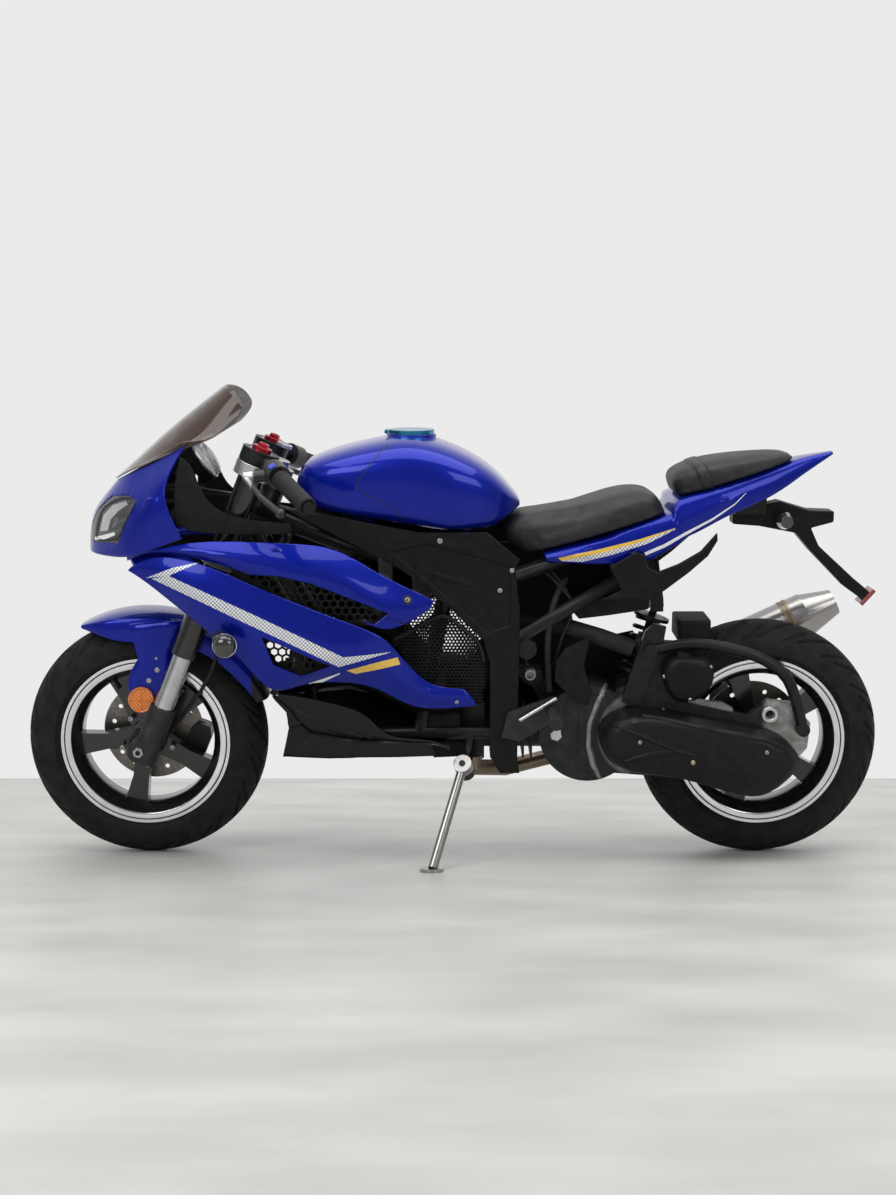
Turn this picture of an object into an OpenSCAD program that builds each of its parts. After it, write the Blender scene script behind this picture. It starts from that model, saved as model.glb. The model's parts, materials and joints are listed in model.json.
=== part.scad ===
// Small sport motorcycle with a full fairing, parked on its side stand.
// The bike is drawn upright, x rearwards from the front axle, y to its right, z up,
// and then leans to its left about the crown line of both tyres.

/* [Wheels] */
// Distance between the axles
wheelbase = 1210; // [1180:5:1240]
// Width of both tyres, twice the radius of their crowns
tyre_w = 120; // [114:1:124]
// Diameter of the bead seats on the rims
bead_d = 305; // [298:1:312]
// Height of the tyres above the bead seats
tyre_h = 84.5; // [81:0.5:88]
// Height of the rim flanges above the bead seats
flange_h = 15.5; // [12:0.5:18]
// Width over the rim flanges
rim_w = 94; // [88:1:98]
// Diameter of the hubs
hub_d = 76; // [66:1:84]
// Length of the hubs
hub_w = 90; // [84:1:94]
// Diameter of both axles
axle_d = 16; // [12:1:20]
// Spokes in each wheel
spoke_count = 5; // [3:1:7]
// Width of a spoke
spoke_w = 44; // [30:1:54]
// Thickness of a spoke
spoke_t = 30; // [20:1:36]
// Diameter of the brake discs
disc_d = 200; // [180:1:212]
// Thickness of the brake discs
disc_t = 4; // [3:0.5:5]

/* [Stance] */
// Lean to the left on the side stand
lean_deg = 10.6; // [10.6:0.1:10.6]

/* [Fork and steering] */
// Angle of the fork from the vertical
rake_deg = 22; // [20:0.5:24]
// Distance of each fork leg from the middle
fork_y = 100; // [97:1:103]
// Distance of the fork legs behind the axle
fork_lead = 12; // [8:1:16]
// Distance of the steering axis behind the fork legs
clamp_offset = 30; // [26:1:34]
// Diameter of the bright lower fork tubes
slider_d = 40; // [36:1:44]
// Diameter of the black upper fork tubes
outer_d = 50; // [47:1:52]
// Height of the fork feet above the axle, along the fork
foot_top = 95; // [85:1:105]
// Height of the upper tubes' lower ends, along the fork
outer_low = 205; // [190:1:225]
// Height of the lower clamp, along the fork
lower_clamp_s = 395; // [385:1:405]
// Height of the upper clamp, along the fork
upper_clamp_s = 575; // [570:1:585]
// Thickness of both clamps
clamp_t = 26; // [22:1:30]
// Diameter of the steering stem
stem_d = 46; // [40:1:50]
// Diameter of the steering head
head_d = 66; // [62:1:70]

/* [Handlebars] */
// Diameter of the bars
bar_d = 22; // [20:1:24]
// Diameter of the grips
grip_d = 34; // [30:1:36]
// Length of the grips
grip_len = 130; // [115:1:140]
// Distance of the grips' inner ends from the middle
grip_y = 190; // [180:1:205]
// Sweep of the bars to the rear
bar_sweep_deg = 27; // [22:1:32]
// Droop of the bars to their ends
bar_droop_deg = 17; // [12:1:22]

/* [Frame] */
// Diameter of the main rails
rail_d = 34; // [30:1:38]
// Diameter of the cradle and rear tubes
cradle_d = 26; // [22:1:28]
// Diameter of the cross bars that carry the panels
stay_d = 18; // [14:1:20]
// Half length of the cross bars that carry the frame covers
cover_y = 118; // [114:1:122]
// Thickness of the frame covers
cover_t = 10; // [6:1:12]

/* [Bodywork] */
// Thickness of the bodywork
wall = 4; // [3:0.5:5]
// Length of the tank
tank_len = 430; // [415:5:440]
// Height of the tank
tank_h = 190; // [180:2:200]
// Width of the tank
tank_w = 276; // [260:2:290]
// Distance of the tank's front behind the front axle
tank_x = 304; // [300:1:312]
// Height of the tank's lowest edge
tank_z = 654; // [650:1:660]
// Diameter of the filler cap
cap_d = 88; // [78:1:94]
// Length of the nose
nose_len = 212; // [200:2:220]
// Height of the nose from its chin to the tips of its cheeks
nose_h = 216; // [206:2:224]
// Width of the nose
nose_w = 360; // [350:2:370]
// Length of the windscreen
screen_len = 255; // [240:5:265]
// Height of the windscreen
screen_h = 184; // [170:2:190]
// Width of the windscreen
screen_w = 224; // [216:2:230]
// Length of a side panel from its beak to its tail
side_len = 655; // [640:5:670]
// Height of a side panel
side_h = 292; // [280:2:300]
// Width over both side panels
side_w = 424; // [416:2:436]
// Length of the belly pan
belly_len = 340; // [330:2:350]
// Height of the belly pan
belly_h = 134; // [126:2:140]
// Width of the belly pan
belly_w = 308; // [300:2:314]
// Gap between the front fender and the tyre
fender_gap = 20; // [14:1:24]
// Width of the front fender
fender_w = 140; // [136:1:142]

/* [Seat and tail] */
// Rise of the seat and the tail to the rear
tail_deg = 17; // [16:0.5:18]
// Length of the rider's seat
seat_len = 330; // [320:2:336]
// Thickness of the rider's seat
seat_h = 84; // [76:2:90]
// Width of the rider's seat
seat_w = 230; // [216:2:236]
// Length of the pillion seat
pillion_len = 242; // [230:2:250]
// Thickness of the pillion seat
pillion_h = 54; // [46:2:60]
// Width of the pillion seat
pillion_w = 190; // [176:2:196]
// Length of the tail cowl
cowl_len = 590; // [580:5:600]
// Height of the tail cowl
cowl_h = 92; // [86:1:96]
// Width of the tail cowl
cowl_w = 236; // [228:2:244]

/* [Engine] */
// Diameter of the crankcase
crank_d = 190; // [180:2:200]
// Width of the crankcase
crank_w = 170; // [160:2:180]
// Length of the drive case
drive_len = 380; // [370:2:390]
// Height of the drive case
drive_h = 164; // [154:2:170]
// Depth of the drive case
drive_t = 80; // [70:1:90]
// Fins on the cylinder
fin_count = 7; // [5:1:9]
// Diameter of the muffler
muffler_d = 90; // [84:1:96]
// Length of the muffler's round body
muffler_len = 260; // [240:5:270]
// Diameter of the exhaust pipe
pipe_d = 32; // [28:1:36]
// Diameter of the shock absorber's eyes' pins
eye_d = 12; // [10:1:14]
// Outer diameter of the shock absorber's spring
spring_d = 62; // [56:1:66]

/* [Side stand] */
// Diameter of the stand's leg
leg_d = 18; // [16:1:22]
// Diameter of the stand's pivot pin
pivot_d = 12; // [10:1:14]
// Diameter of the stand's foot
foot_d = 44; // [36:1:50]

/* [Hidden] */
$fn = 40;
// Overrun of every cut
over = 2;
// Running clearance of pins, stems and sleeves
fit = 0.2;
// Gap between pieces that lie on each other
seat_gap = 0.3;
tyre_d = bead_d + 2 * tyre_h;
rim_d = bead_d + 2 * flange_h;
axle_z = tyre_d / 2;
crown_r = tyre_w / 2;
steer_x = fork_lead + clamp_offset;

// Places from the front axle, in millimetres, x to the rear and z up
nose_x = -107;
nose_z = 612;
screen_x = -46;
screen_z = 750;
side_x = -4;
side_z = 333;
belly_z = 236;
tail_x = 764;
tail_z = 617;
// Box of the frame: front, bottom, length, height and half width
frame_x = 214;
frame_z = 232;
frame_len = 492;
frame_h = 458;
frame_y = 92;
// Room between the tyres and what lies before or behind them
tyre_gap = 10;
belly_gap = 21;
belly_x = tyre_d / 2 + belly_gap;
crank_x = wheelbase - tyre_d / 2 - tyre_gap - crank_d / 2;
drive_lap = 20;
drive_x = crank_x + drive_lap;
drive_z = 155;
bar_s = upper_clamp_s + clamp_t + over;
fork_top = bar_s + clamp_t;
// Height of the grips' middle line at their inner ends
grip_h = 775;
// Side shift that puts the middle of the leaning bike over the origin
lean_shift = (grip_h - crown_r) * sin(lean_deg);

// Small helpers
function unit(v) = v / norm(v);
function lerp(a, b, t) = a + (b - a) * t;
function flip(v) = [v.x, -v.y, v.z];
// Whether a point lies inside an outline
function inside(p, pts) = let (n = len(pts)) len([for (i = [0:n - 1])
  let (a = pts[i], b = pts[(i + 1) % n])
  if ((a.y > p.y) != (b.y > p.y) && p.x < a.x + (b.x - a.x) * (p.y - a.y) / (b.y - a.y)) 1]) % 2 == 1;
// Whether a hole and its rim lie inside an outline
function rimmed(c, d, pts) =
  len([for (a = [0:60:300]) if (inside(c + [cos(a), sin(a)] * d * 0.75, pts)) 1]) == 6;
// Catmull-Rom value between b and c
function curve(a, b, c, d, t) =
  b * 1 + (c - a) * (t / 2) + (a * 2 - b * 5 + c * 4 - d) * (t * t / 2)
  + (b * 3 - a - c * 3 + d) * (t * t * t / 2);
// A table of rows with steps rows for each gap, on a smooth curve
function smooth(rows, steps) = let (last = len(rows) - 1) concat(
  [for (i = [0:last - 1]) for (k = [0:steps - 1])
    curve(rows[max(i - 1, 0)], rows[i], rows[i + 1], rows[min(i + 2, last)], k / steps)],
  [rows[last]]);
// A closed outline with steps points for each gap, on a smooth curve
function smooth_loop(pts, steps) = let (n = len(pts))
  [for (i = [0:n - 1]) for (k = [0:steps - 1])
    curve(pts[(i + n - 1) % n], pts[i], pts[(i + 1) % n], pts[(i + 2) % n], k / steps)];
// A table of shares turned into points from an origin and a size along each axis
function place(row, o, s) = [for (p = row) [o.x + p.x * s.x, o.y + p.y * s.y, o.z + p.z * s.z]];
function outline(shares, o, s) = [for (p = shares) [o.x + p.x * s.x, o.y + p.y * s.y]];

// A point of the upright bike, after its lean
function lean_point(p) = [
  p.x - wheelbase / 2,
  p.y * cos(lean_deg) - (p.z - crown_r) * sin(lean_deg) + lean_shift,
  crown_r + p.y * sin(lean_deg) + (p.z - crown_r) * cos(lean_deg)];

module lean() {
  translate([-wheelbase / 2, lean_shift, crown_r])
    rotate([lean_deg, 0, 0])
      translate([0, 0, -crown_r])
        children();
}

// The fork's own frame: origin on the front axle, z up along the fork
module fork_frame() {
  lean()
    translate([0, 0, axle_z])
      rotate([0, rake_deg, 0])
        children();
}

// The tail's own frame: x along the seat, z square to it
module tail_frame() {
  lean()
    translate([tail_x, 0, tail_z])
      rotate([0, -tail_deg, 0])
        children();
}

module both_sides() {
  children();
  mirror([0, 1, 0]) children();
}

// A round bar between two points
module bar(p, q, d) {
  v = q - p;
  translate(p)
    rotate([0, acos(v.z / norm(v)), atan2(v.y, v.x)])
      cylinder(d = d, h = norm(v));
}

// A bar bent at each of its points
module bent_bar(pts, d) {
  for (i = [0:len(pts) - 2]) bar(pts[i], pts[i + 1], d);
  for (i = [1:1:len(pts) - 2]) translate(pts[i]) sphere(d = d + fit);
}

// A bar across the bike
module cross_bar(x, z, half, d) {
  translate([x, half, z]) rotate([90, 0, 0]) cylinder(d = d, h = 2 * half);
}

// A flat shape in the side view, as thick as from y0 to y1
module side_sheet(y0, y1) {
  translate([0, y1, 0]) rotate([90, 0, 0]) linear_extrude(y1 - y0) children();
}

// A plate in the side view, from y0 to y1
module side_plate(pts, y0, y1) {
  side_sheet(y0, y1) polygon(pts);
}

// Holes in staggered rows wherever their rims lie inside an outline, away from the kept points
module hole_rows(pts, pitch, d, sides, kept) {
  low = [min([for (p = pts) p.x]), min([for (p = pts) p.y])];
  high = [max([for (p = pts) p.x]), max([for (p = pts) p.y])];
  rise = pitch * sin(60);
  for (i = [0:ceil((high.y - low.y) / rise)])
    for (j = [0:ceil((high.x - low.x) / pitch)])
      let (c = low + [(j + (i % 2) / 2) * pitch, i * rise])
        if (rimmed(c, d, pts) && min([for (k = kept) norm(c - k)]) > stay_d)
          translate(c) rotate(30) circle(d = d, $fn = sides);
}

// A grid of points moved back by d, square to itself
function behind(g, d) = let (n = len(g) - 1, m = len(g[0]) - 1)
  [for (i = [0:n]) [for (j = [0:m]) g[i][j] - d * unit(cross(
    g[min(i + 1, n)][j] - g[max(i - 1, 0)][j], g[i][min(j + 1, m)] - g[i][max(j - 1, 0)]))]];

// A shell on a grid of points, its wall laid behind the grid
module skin(g, t) {
  n = len(g) - 1;
  m = len(g[0]) - 1;
  w = m + 1;
  size = (n + 1) * w;
  back = behind(g, t);
  outer = [for (i = [0:n]) for (j = [0:m]) g[i][j]];
  inner = [for (i = [0:n]) for (j = [0:m]) back[i][j]];
  function at(i, j) = i * w + j;
  faces = concat(
    [for (i = [0:n - 1]) for (j = [0:m - 1]) each
      [[at(i, j), at(i, j + 1), at(i + 1, j + 1)], [at(i, j), at(i + 1, j + 1), at(i + 1, j)]]],
    [for (i = [0:n - 1]) for (j = [0:m - 1]) each
      [[size + at(i, j), size + at(i + 1, j + 1), size + at(i, j + 1)],
      [size + at(i, j), size + at(i + 1, j), size + at(i + 1, j + 1)]]],
    [for (j = [0:m - 1]) each
      [[at(0, j), size + at(0, j + 1), at(0, j + 1)], [at(0, j), size + at(0, j), size + at(0, j + 1)],
      [at(n, j), at(n, j + 1), size + at(n, j + 1)], [at(n, j), size + at(n, j + 1), size + at(n, j)]]],
    [for (i = [0:n - 1]) each
      [[at(i, 0), at(i + 1, 0), size + at(i + 1, 0)], [at(i, 0), size + at(i + 1, 0), size + at(i, 0)],
      [at(i, m), size + at(i + 1, m), at(i + 1, m)], [at(i, m), size + at(i, m), size + at(i + 1, m)]]]);
  polyhedron(concat(outer, inner), faces, convexity = 6);
}

// A closed body on rings of points
module loft(rings) {
  n = len(rings) - 1;
  m = len(rings[0]);
  function mid(r) = [for (k = [0:2]) let (s = [for (p = r) p[k]]) s * [for (p = r) 1] / m];
  pts = concat([for (r = rings) each r], [mid(rings[0]), mid(rings[n])]);
  function at(i, j) = i * m + j % m;
  faces = concat(
    [for (i = [0:n - 1]) for (j = [0:m - 1]) each
      [[at(i, j), at(i, j + 1), at(i + 1, j + 1)], [at(i, j), at(i + 1, j + 1), at(i + 1, j)]]],
    [for (j = [0:m - 1]) [(n + 1) * m, at(0, j + 1), at(0, j)]],
    [for (j = [0:m - 1]) [(n + 1) * m + 1, at(n, j), at(n, j + 1)]]);
  polyhedron(pts, faces, convexity = 6);
}

// One ring of a body: low and high edge, half width, level of the widest point, roundness shares
function oval(x, low, high, half, mid_share, up_share, low_share, count) =
  let (mid = lerp(low, high, mid_share))
  [for (k = [0:count - 1]) let (a = 360 * k / count, c = cos(a), s = sin(a))
    [x, -half * sign(c) * pow(abs(c), s > 0 ? up_share : low_share),
    mid + (s > 0 ? (high - mid) * pow(s, up_share) : -(mid - low) * pow(-s, low_share))]];

// A tube of any number of sides along a row of points
module sweep(pts, d, sides) {
  n = len(pts) - 1;
  function run(i) = unit(pts[min(i + 1, n)] - pts[max(i - 1, 0)]);
  loft([for (i = [0:n]) let (t = run(i), u = unit(cross(t, [0, 1, 0])), v = cross(u, t))
    [for (k = [0:sides - 1]) pts[i] + (u * cos(360 * k / sides) + v * sin(360 * k / sides)) * d / 2]]);
}

// Rows of a left panel with its columns on a smooth curve from its lower to its upper edge
function panel_grid(shares, o, s, along, across) =
  [for (row = smooth(shares, along)) smooth(place(row, o, s), across)];

// Rows of a panel that wraps round the front from the right to the left
function wrap_grid(shares, o, s, along, across) =
  let (left = panel_grid(shares, o, s, along, across))
  concat([for (i = [len(left) - 1:-1:1]) [for (p = left[i]) flip(p)]], left);

// Wheels

module tyre() {
  arc = [for (a = [-90:7.5:90]) [tyre_d / 2 - crown_r + crown_r * cos(a), crown_r * sin(a)]];
  flange = rim_d / 2 + seat_gap;
  rotate([90, 0, 0])
    rotate_extrude($fn = 96)
      polygon(concat(arc, [
        [flange, rim_w / 2 + seat_gap], [flange, rim_w / 2 - flange_t - seat_gap],
        [bead_d / 2 + seat_gap, rim_w / 2 - flange_t - seat_gap],
        [bead_d / 2 + seat_gap, -rim_w / 2 + flange_t + seat_gap],
        [flange, -rim_w / 2 + flange_t + seat_gap], [flange, -rim_w / 2 - seat_gap]]));
}

// Width of a rim flange
flange_t = 8;
// Depth of the rim's drop centre below the bead seat
well = 14;
// Thickness of the rim's barrel
barrel = 6;

module rim(phase) {
  inner_r = bead_d / 2 - well - barrel;
  rotate([90, 0, 0])
    difference() {
      union() {
        rotate_extrude($fn = 96)
          polygon([
            [inner_r, -rim_w / 4], [bead_d / 2 - barrel, -rim_w / 2], [rim_d / 2, -rim_w / 2],
            [rim_d / 2, -rim_w / 2 + flange_t], [bead_d / 2, -rim_w / 2 + flange_t],
            [bead_d / 2, -rim_w / 3], [bead_d / 2 - well, -rim_w / 5],
            [bead_d / 2 - well, rim_w / 5], [bead_d / 2, rim_w / 3],
            [bead_d / 2, rim_w / 2 - flange_t], [rim_d / 2, rim_w / 2 - flange_t],
            [rim_d / 2, rim_w / 2], [bead_d / 2 - barrel, rim_w / 2], [inner_r, rim_w / 4]]);
        cylinder(d = hub_d, h = hub_w, center = true);
        for (i = [0:spoke_count - 1]) rotate(phase + 360 * i / spoke_count) spoke(inner_r + barrel / 2);
      }
      cylinder(d = axle_d + 2 * fit, h = hub_w + over, center = true);
    }
}

// A spoke that narrows towards the rim
spoke_shares = [[-0.5, 0], [-0.36, 0.55], [-0.5, 1], [0.5, 1], [0.36, 0.55], [0.5, 0]];

module spoke(reach) {
  root = hub_d / 4;
  translate([0, 0, -spoke_t / 2])
    linear_extrude(spoke_t)
      polygon(outline(spoke_shares, [0, root], [spoke_w, reach - root]));
}

// Share of the disc's radius at its inner edge, and holes in its band
disc_inner_share = 0.24;
disc_band_share = 0.62;
disc_hole_d = 9;
disc_holes = 15;

module disc() {
  translate([0, hub_w / 2 + disc_t, 0])
    rotate([90, 0, 0])
      difference() {
        cylinder(d = disc_d, h = disc_t, $fn = 64);
        translate([0, 0, -over]) cylinder(d = disc_d * disc_inner_share, h = disc_t + 2 * over);
        for (i = [0:disc_holes - 1])
          rotate(360 * i / disc_holes)
            translate([disc_d * lerp(disc_band_share, 1, 0.5) / 2, 0, -over])
              cylinder(d = disc_hole_d, h = disc_t + 2 * over, $fn = 16);
      }
}

module at_front_axle() { lean() translate([0, 0, axle_z]) children(); }
module at_rear_axle() { lean() translate([wheelbase, 0, axle_z]) children(); }

module front_tyre() { color("#17181a") at_front_axle() tyre(); }
module rear_tyre() { color("#17181a") at_rear_axle() tyre(); }
module front_rim() { color("#202124") at_front_axle() rim(24); }
module rear_rim() { color("#202124") at_rear_axle() rim(18); }
module front_disc() { color("#a9abad") at_front_axle() disc(); }
module rear_disc() { color("#a9abad") at_rear_axle() disc(); }

// Fork and steering

// Inner face of the fork feet, with the depth of the flat there
foot_flat = 1;
foot_in = fork_y - outer_d / 2 - foot_flat;
// Outer diameter of the axle's bosses and spacers
boss_d = 44;
spacer_d = 28;
// Pad on each foot that carries the fender
ear_lug = 20;

module fork_feet() {
  color("#1b1c1e") fork_frame() {
    both_sides() {
      translate([fork_lead, -fork_y, -boss_d / 2]) cylinder(d = outer_d, h = foot_top + boss_d / 2);
      translate([0, -foot_in, 0]) rotate([90, 0, 0]) cylinder(d = boss_d, h = outer_d + over);
      translate([fork_lead - ear_lug / 2, -fork_y, foot_top - ear_lug * 2])
        cube([ear_lug, fork_y - foot_in, ear_lug]);
      translate([0, -hub_w / 2 - disc_t - seat_gap, 0])
        rotate([90, 0, 0])
          cylinder(d = spacer_d, h = foot_in - hub_w / 2 - disc_t + over);
    }
    cross_bar(0, 0, fork_y + boss_d / 2, axle_d);
    side_plate(outline(caliper_lug_shares, [0, 0], [caliper_x, caliper_x]), foot_in + over, foot_in + lug_t);
  }
}

// Place of the brake caliper behind the axle, and its carrier's thickness
caliper_x = 92;
caliper_z = 8;
caliper_w = 44;
caliper_h = 84;
lug_t = 14;
caliper_lug_shares = [[0.1, -0.2], [0.75, -0.3], [1.2, -0.1], [1.2, 0.3], [0.75, 0.5], [0.1, 0.6]];
// Outline of the caliper, across and along
caliper_shares = [
  [-0.3, -0.5], [0.3, -0.5], [0.5, -0.3], [0.5, 0.3], [0.3, 0.5], [-0.3, 0.5], [-0.5, 0.3], [-0.5, -0.3]];
// Room on each side of the disc, and thickness of the caliper inside it
pad_gap = 3;
pad_t = 9;

module front_caliper() {
  low = hub_w / 2 - pad_gap - pad_t;
  color("#2b2c2e") fork_frame()
    difference() {
      side_plate(outline(caliper_shares, [caliper_x, caliper_z], [caliper_w, caliper_h]), low, foot_in + over);
      translate([0, hub_w / 2 + disc_t + pad_gap, 0])
        rotate([90, 0, 0])
          cylinder(d = disc_d + 2 * pad_gap, h = disc_t + 2 * pad_gap, $fn = 64);
    }
}

module fork_sliders() {
  color("#c9ccd0") fork_frame() both_sides()
    translate([fork_lead, -fork_y, foot_top])
      cylinder(d = slider_d, h = outer_low - foot_top + slider_hold);
}

// Length of a lower tube inside the upper one
slider_hold = 120;

module fork_tubes() {
  color("#141518") fork_frame() both_sides()
    difference() {
      translate([fork_lead, -fork_y, outer_low]) cylinder(d = outer_d, h = fork_top - outer_low);
      translate([fork_lead, -fork_y, outer_low - over])
        cylinder(d = slider_d + 2 * fit, h = slider_hold + 2 * over);
    }
}

// Width that a clamp, a bar's ring and the steering head's seat add round their tubes
clamp_ring = 24;
bar_ring = 22;
head_ring = 6;
// Height of the nut on the stem
stem_nut = 14;

module clamp_outline() {
  difference() {
    union() {
      for (s = [-1, 1]) translate([fork_lead, s * fork_y]) circle(d = outer_d + clamp_ring);
      translate([steer_x, 0]) circle(d = head_d + head_ring);
      polygon([
        [fork_lead - outer_d / 3, -fork_y], [fork_lead - outer_d / 3, fork_y],
        [fork_lead + outer_d / 2, fork_y], [steer_x + head_d / 2, 0], [fork_lead + outer_d / 2, -fork_y]]);
    }
    for (s = [-1, 1]) translate([fork_lead, s * fork_y]) circle(d = outer_d + 2 * fit);
  }
}

module triple_clamps() {
  color("#b9bcc0") fork_frame() {
    for (s = [lower_clamp_s, upper_clamp_s]) translate([0, 0, s]) linear_extrude(clamp_t) clamp_outline();
    translate([steer_x, 0, lower_clamp_s])
      cylinder(d = stem_d, h = upper_clamp_s - lower_clamp_s + clamp_t + stem_nut);
  }
}

// Bars: from a ring on each fork tube outwards, rearwards and down
bar_dir = [sin(bar_sweep_deg), -cos(bar_sweep_deg) * cos(bar_droop_deg), -sin(bar_droop_deg)];
bar_low = [
  fork_lead * cos(rake_deg) + (bar_s + clamp_t / 2) * sin(rake_deg), -fork_y,
  axle_z + (bar_s + clamp_t / 2) * cos(rake_deg) - fork_lead * sin(rake_deg)];
grip_in = bar_low + bar_dir * (grip_y - fork_y) / -bar_dir.y;
grip_out = grip_in + bar_dir * grip_len;
// Length of the bars beyond the grips
bar_end = 6;

module handlebars() {
  color("#1d1e21") {
    difference() {
      union() {
        fork_frame() both_sides()
          translate([fork_lead, -fork_y, bar_s]) cylinder(d = outer_d + bar_ring, h = clamp_t);
        lean() both_sides() bar(bar_low, grip_out + bar_dir * bar_end, bar_d);
      }
      fork_frame() both_sides()
        translate([fork_lead, -fork_y, bar_s - over])
          cylinder(d = outer_d + 2 * fit, h = clamp_t + 2 * over);
    }
  }
}

module grips() {
  color("#131416") lean() both_sides()
    difference() {
      bar(grip_in, grip_out, grip_d);
      bar(grip_in - bar_dir * over, grip_out + bar_dir * over, bar_d + 2 * fit);
    }
}

// Switch housings, levers and the brake reservoir
switch_d = 46;
switch_len = 34;
switch_gap = 4;
lever_d = 12;
lever_gap = 58;
lever_len = 150;
lever_sag = 4;
// Way from a lever's straight end to its ball
lever_tip = [10, 0, -6];
lever_bend_share = 0.55;
perch_share = 0.3;
reservoir_d = 38;
reservoir_h = 24;
reservoir_rise = 6;

module controls() {
  start = grip_in - bar_dir * (switch_len + switch_gap);
  knuckle = start + bar_dir * switch_len / 2 + [-lever_gap, 0, -lever_d / 2];
  ball = knuckle + bar_dir * lever_len + lever_tip;
  perch = flip(lerp(knuckle, start, perch_share));
  color("#18191b") lean() {
    both_sides()
      difference() {
        union() {
          bar(start, start + bar_dir * switch_len, switch_d);
          bar(start + bar_dir * switch_len / 2, knuckle, switch_d / 2);
          bent_bar([knuckle, knuckle + bar_dir * lever_len * lever_bend_share - [0, 0, lever_sag],
            ball], lever_d);
          translate(ball) sphere(d = lever_d * 1.6);
        }
        bar(start - bar_dir * over, start + bar_dir * (switch_len + over), bar_d + 2 * fit);
      }
    translate(perch) cylinder(d = lever_d * 1.4, h = reservoir_rise + over);
    translate(perch + [0, 0, reservoir_rise]) cylinder(d = reservoir_d, h = reservoir_h);
  }
}

// Speedometer drive beside the front hub and its cable up to the lower clamp, as points of its route
speedo_d = 58;
speedo_gap = 6;
cable_d = 7;
cable_route = [
  [24, -62, 226], [34, -66, 238], [50, -70, 258], [72, -73, 285], [95, -77, 316], [118, -81, 350],
  [138, -84, 386],
  [152, -84, 424], [162, -81, 462], [169, -75, 500], [173, -68, 536], [175, -63, 564], [174, -62, 589]];

module speedo_cable() {
  low = hub_w / 2 + speedo_gap;
  color("#121315") lean() {
    sweep(cable_route, cable_d, 8);
    translate([0, -low, axle_z])
      rotate([90, 0, 0])
        difference() {
          cylinder(d = speedo_d, h = foot_in - seat_gap - low);
          translate([0, 0, -over]) cylinder(d = spacer_d + 2 * seat_gap, h = foot_in);
        }
  }
}

// Round reflectors on the fender's ears, from the axle
reflector_d = 50;
reflector_t = 9;
reflector_at = [1, 93];

module fork_reflectors() {
  color("#e0701a") at_front_axle() both_sides()
    translate([reflector_at[0], -foot_in, reflector_at[1]])
      rotate([90, 0, 0]) cylinder(d = reflector_d, h = reflector_t);
}

// Front fender: rows from its front tip over the tyre to its rear end, columns left to right.
// Angle of each row from the rear, then shares of the width and of the side's depth
fender_rows = [
  [118, 0.5, 0.1], [108, 0.9, 0.55], [95, 1, 0.8], [75, 1, 0.75], [55, 1, 0.6], [35, 0.95, 0.5],
  [20, 0.85, 0.35]];
fender_arch_shares = [
  [-1, 1], [-1, 0.55], [-0.92, 0.18], [-0.6, 0.02], [0, 0], [0.6, 0.02], [0.92, 0.18], [1, 0.55], [1, 1]];
fender_side = 70;

// Ears of the fender that reach down to the fork feet, from the axle
ear_len = 110;
ear_h = 190;
ear_shares = [
  [-0.18, 0.95], [0.73, 1], [0.56, 0.7], [0.47, 0.02], [-0.2, 0.06], [-0.24, 0.3], [-0.22, 0.44], [-0.04, 0.6]];
ear_z = 58;
ear_t = 7;
ear_in = foot_in - ear_t;

module front_fender() {
  r = tyre_d / 2 + fender_gap + wall;
  color("#1a2fb5") at_front_axle() {
    skin([for (row = smooth(fender_rows, 4)) [for (p = fender_arch_shares)
      let (y = p.x * row[1] * fender_w / 2, rr = r - p.y * row[2] * fender_side)
      [rr * cos(row[0]), y, rr * sin(row[0])]]], wall);
    both_sides() side_plate(outline(ear_shares, [0, ear_z], [ear_len, ear_h]), -foot_in, -ear_in);
  }
}

// Bodywork

// Tank rings: place along, low edge, high edge, half width, widest level
tank_shares = [
  [0, 0.42, 0.5, 0.24, 0.5], [0.03, 0.3, 0.68, 0.58, 0.5], [0.1, 0.24, 0.77, 0.78, 0.48],
  [0.22, 0.19, 0.86, 0.92, 0.46], [0.38, 0.14, 0.94, 0.98, 0.45], [0.52, 0.09, 0.97, 1, 0.44],
  [0.66, 0.04, 0.9, 1, 0.44], [0.78, 0.03, 0.78, 0.92, 0.46], [0.88, 0.07, 0.63, 0.78, 0.5],
  [0.95, 0.17, 0.47, 0.56, 0.52], [1, 0.26, 0.33, 0.26, 0.5]];
tank_round_share = 0.62;
tank_flat_share = 0.4;
// Place of the filler cap along the tank and in its height, and width of the collar round it
cap_share = 0.515;
cap_seat_share = 0.975;
cap_rim = 8;
cap_x = tank_x + cap_share * tank_len;
cap_seat = tank_z + cap_seat_share * tank_h;
neck_d = 44;
neck_depth = 60;
pad_w = 110;
pad_len = 40;
tank_pad_shares = [0.3, 0.72];
pad_drop = 14;
tank_pad_z = tank_z - pad_drop;

module fuel_tank() {
  color("#1a2fb5") lean()
    difference() {
      union() {
        loft([for (r = smooth(tank_shares, 2)) oval(tank_x + r[0] * tank_len, tank_z + r[1] * tank_h,
          tank_z + r[2] * tank_h, r[3] * tank_w / 2, r[4], tank_round_share, tank_flat_share, 28)]);
        translate([cap_x, 0, cap_seat - tank_h / 4]) cylinder(d = cap_d + cap_rim, h = tank_h / 4);
        for (s = tank_pad_shares)
          translate([tank_x + s * tank_len - pad_len / 2, -pad_w / 2, tank_pad_z])
            cube([pad_len, pad_w, tank_h / 2]);
      }
      translate([cap_x, 0, cap_seat - neck_depth]) cylinder(d = neck_d, h = neck_depth + over);
    }
}

// Filler cap with a hinge at its front edge
cap_t = 8;
plug_gap = 1.5;
plug_t = 6;
hinge_d = 8;
hinge_x = cap_x - cap_d / 2 - hinge_d / 2;

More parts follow.
